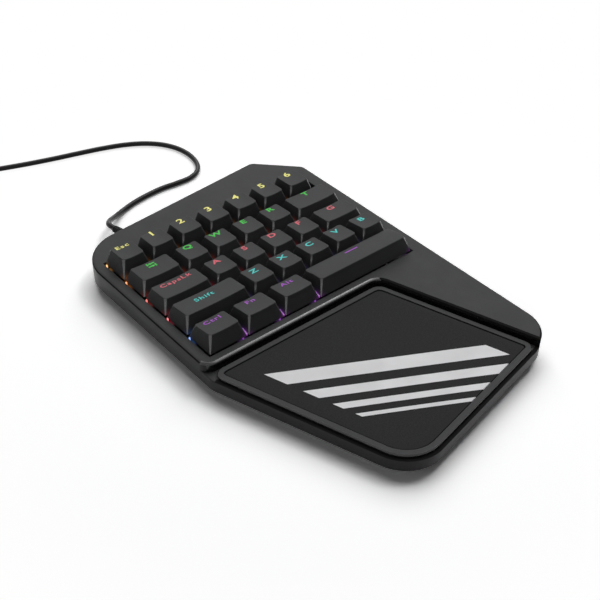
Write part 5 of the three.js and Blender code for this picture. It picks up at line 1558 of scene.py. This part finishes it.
def letters(text, height, stretch, boldness, spacing=1.0):
    """A flat mesh of the words, centred on the origin, with their face up at a height of 1."""
    words = bpy.data.curves.new("words", "FONT")
    words.body = text
    words.size = height / FONT_CAPITAL_SHARE
    words.align_x = "CENTER"
    words.align_y = "CENTER"
    words.extrude = 1.0
    words.offset = boldness
    words.space_character = spacing
    words.resolution_u = FONT_STEPS
    mesh = finished_mesh(add_object("words", words))
    mesh.transform(Matrix.Diagonal((stretch, 1, 1, 1)))
    return weld(mesh)


def signs(outlines):
    """Flat shapes from their corners, counter-clockwise, with their face up at a height of 1."""
    points, faces = [], []
    for outline in outlines:
        start, count = len(points), len(outline)
        points += [(x, y, z) for z in (-1, 1) for x, y in outline]
        above = start + count
        faces += [tuple(reversed(range(start, above))), tuple(range(above, above + count))]
        faces += side_faces(start, above, count)
    return mesh_of(points, faces)


def bar_sign(left, right, middle, thickness):
    low, high = middle - thickness / 2, middle + thickness / 2
    return [(left, low), (right, low), (right, high), (left, high)]


def tab_arrow(way, middle):
    """One of the tab key's two arrows, with the stop bar that it points at."""
    half = TAB_SIGN_WIDTH / 2
    tip = half - TAB_SIGN_LINE
    head = tip - TAB_ARROW_HEAD
    outlines = [
        bar_sign(-half, head, middle, TAB_SIGN_LINE),
        [(head, middle - TAB_ARROW_HALF), (tip, middle), (head, middle + TAB_ARROW_HALF)],
        bar_sign(tip, half, middle, TAB_SIGN_BAR),
    ]
    if way > 0:
        return outlines
    return [[(-x, y) for x, y in reversed(outline)] for outline in outlines]


legend_inks = [legend_material("legend_row_%d" % row, colour)
               for row, colour in enumerate(LEGEND_COLOURS, 1)]
for key in keys:
    depth = LEGEND_DEPTHS[key.row]
    if key.name == "space":
        legend = signs([bar_sign(-SPACE_SIGN_LENGTH / 2, SPACE_SIGN_LENGTH / 2, 0, SPACE_SIGN_LINE)])
    elif key.name == "tab":
        legend = signs(tab_arrow(-1, TAB_SIGN_SPREAD - TAB_SIGN_DROP)
                       + tab_arrow(1, -TAB_SIGN_SPREAD - TAB_SIGN_DROP))
    elif key.name in LEGENDS:
        legend = letters(LEGENDS[key.name], WORD_HEIGHT, WORD_STRETCH, WORD_BOLDNESS, WORD_SPACING)
    elif key.name.isdigit():
        legend = letters(key.name, DIGIT_HEIGHT, DIGIT_STRETCH, LEGEND_BOLDNESS)
    else:
        legend = letters(key.name.upper(), LEGEND_HEIGHT, LEGEND_STRETCH, LEGEND_BOLDNESS)
    if key.name == "shift":
        legend.transform(Matrix.Translation((*SHIFT_WORD_MOVE, 0)))
    for vertex in legend.vertices:
        x = key.middle_x + vertex.co.x
        y = key.front + depth + vertex.co.y
        proud = LEGEND_PROUD if vertex.co.z > 0 else -LEGEND_PROUD
        vertex.co = (x, y, key.top(x, y) + proud)
    add_piece("legend_" + key.name, legend, [legend_inks[key.row]], body="key_" + key.name)
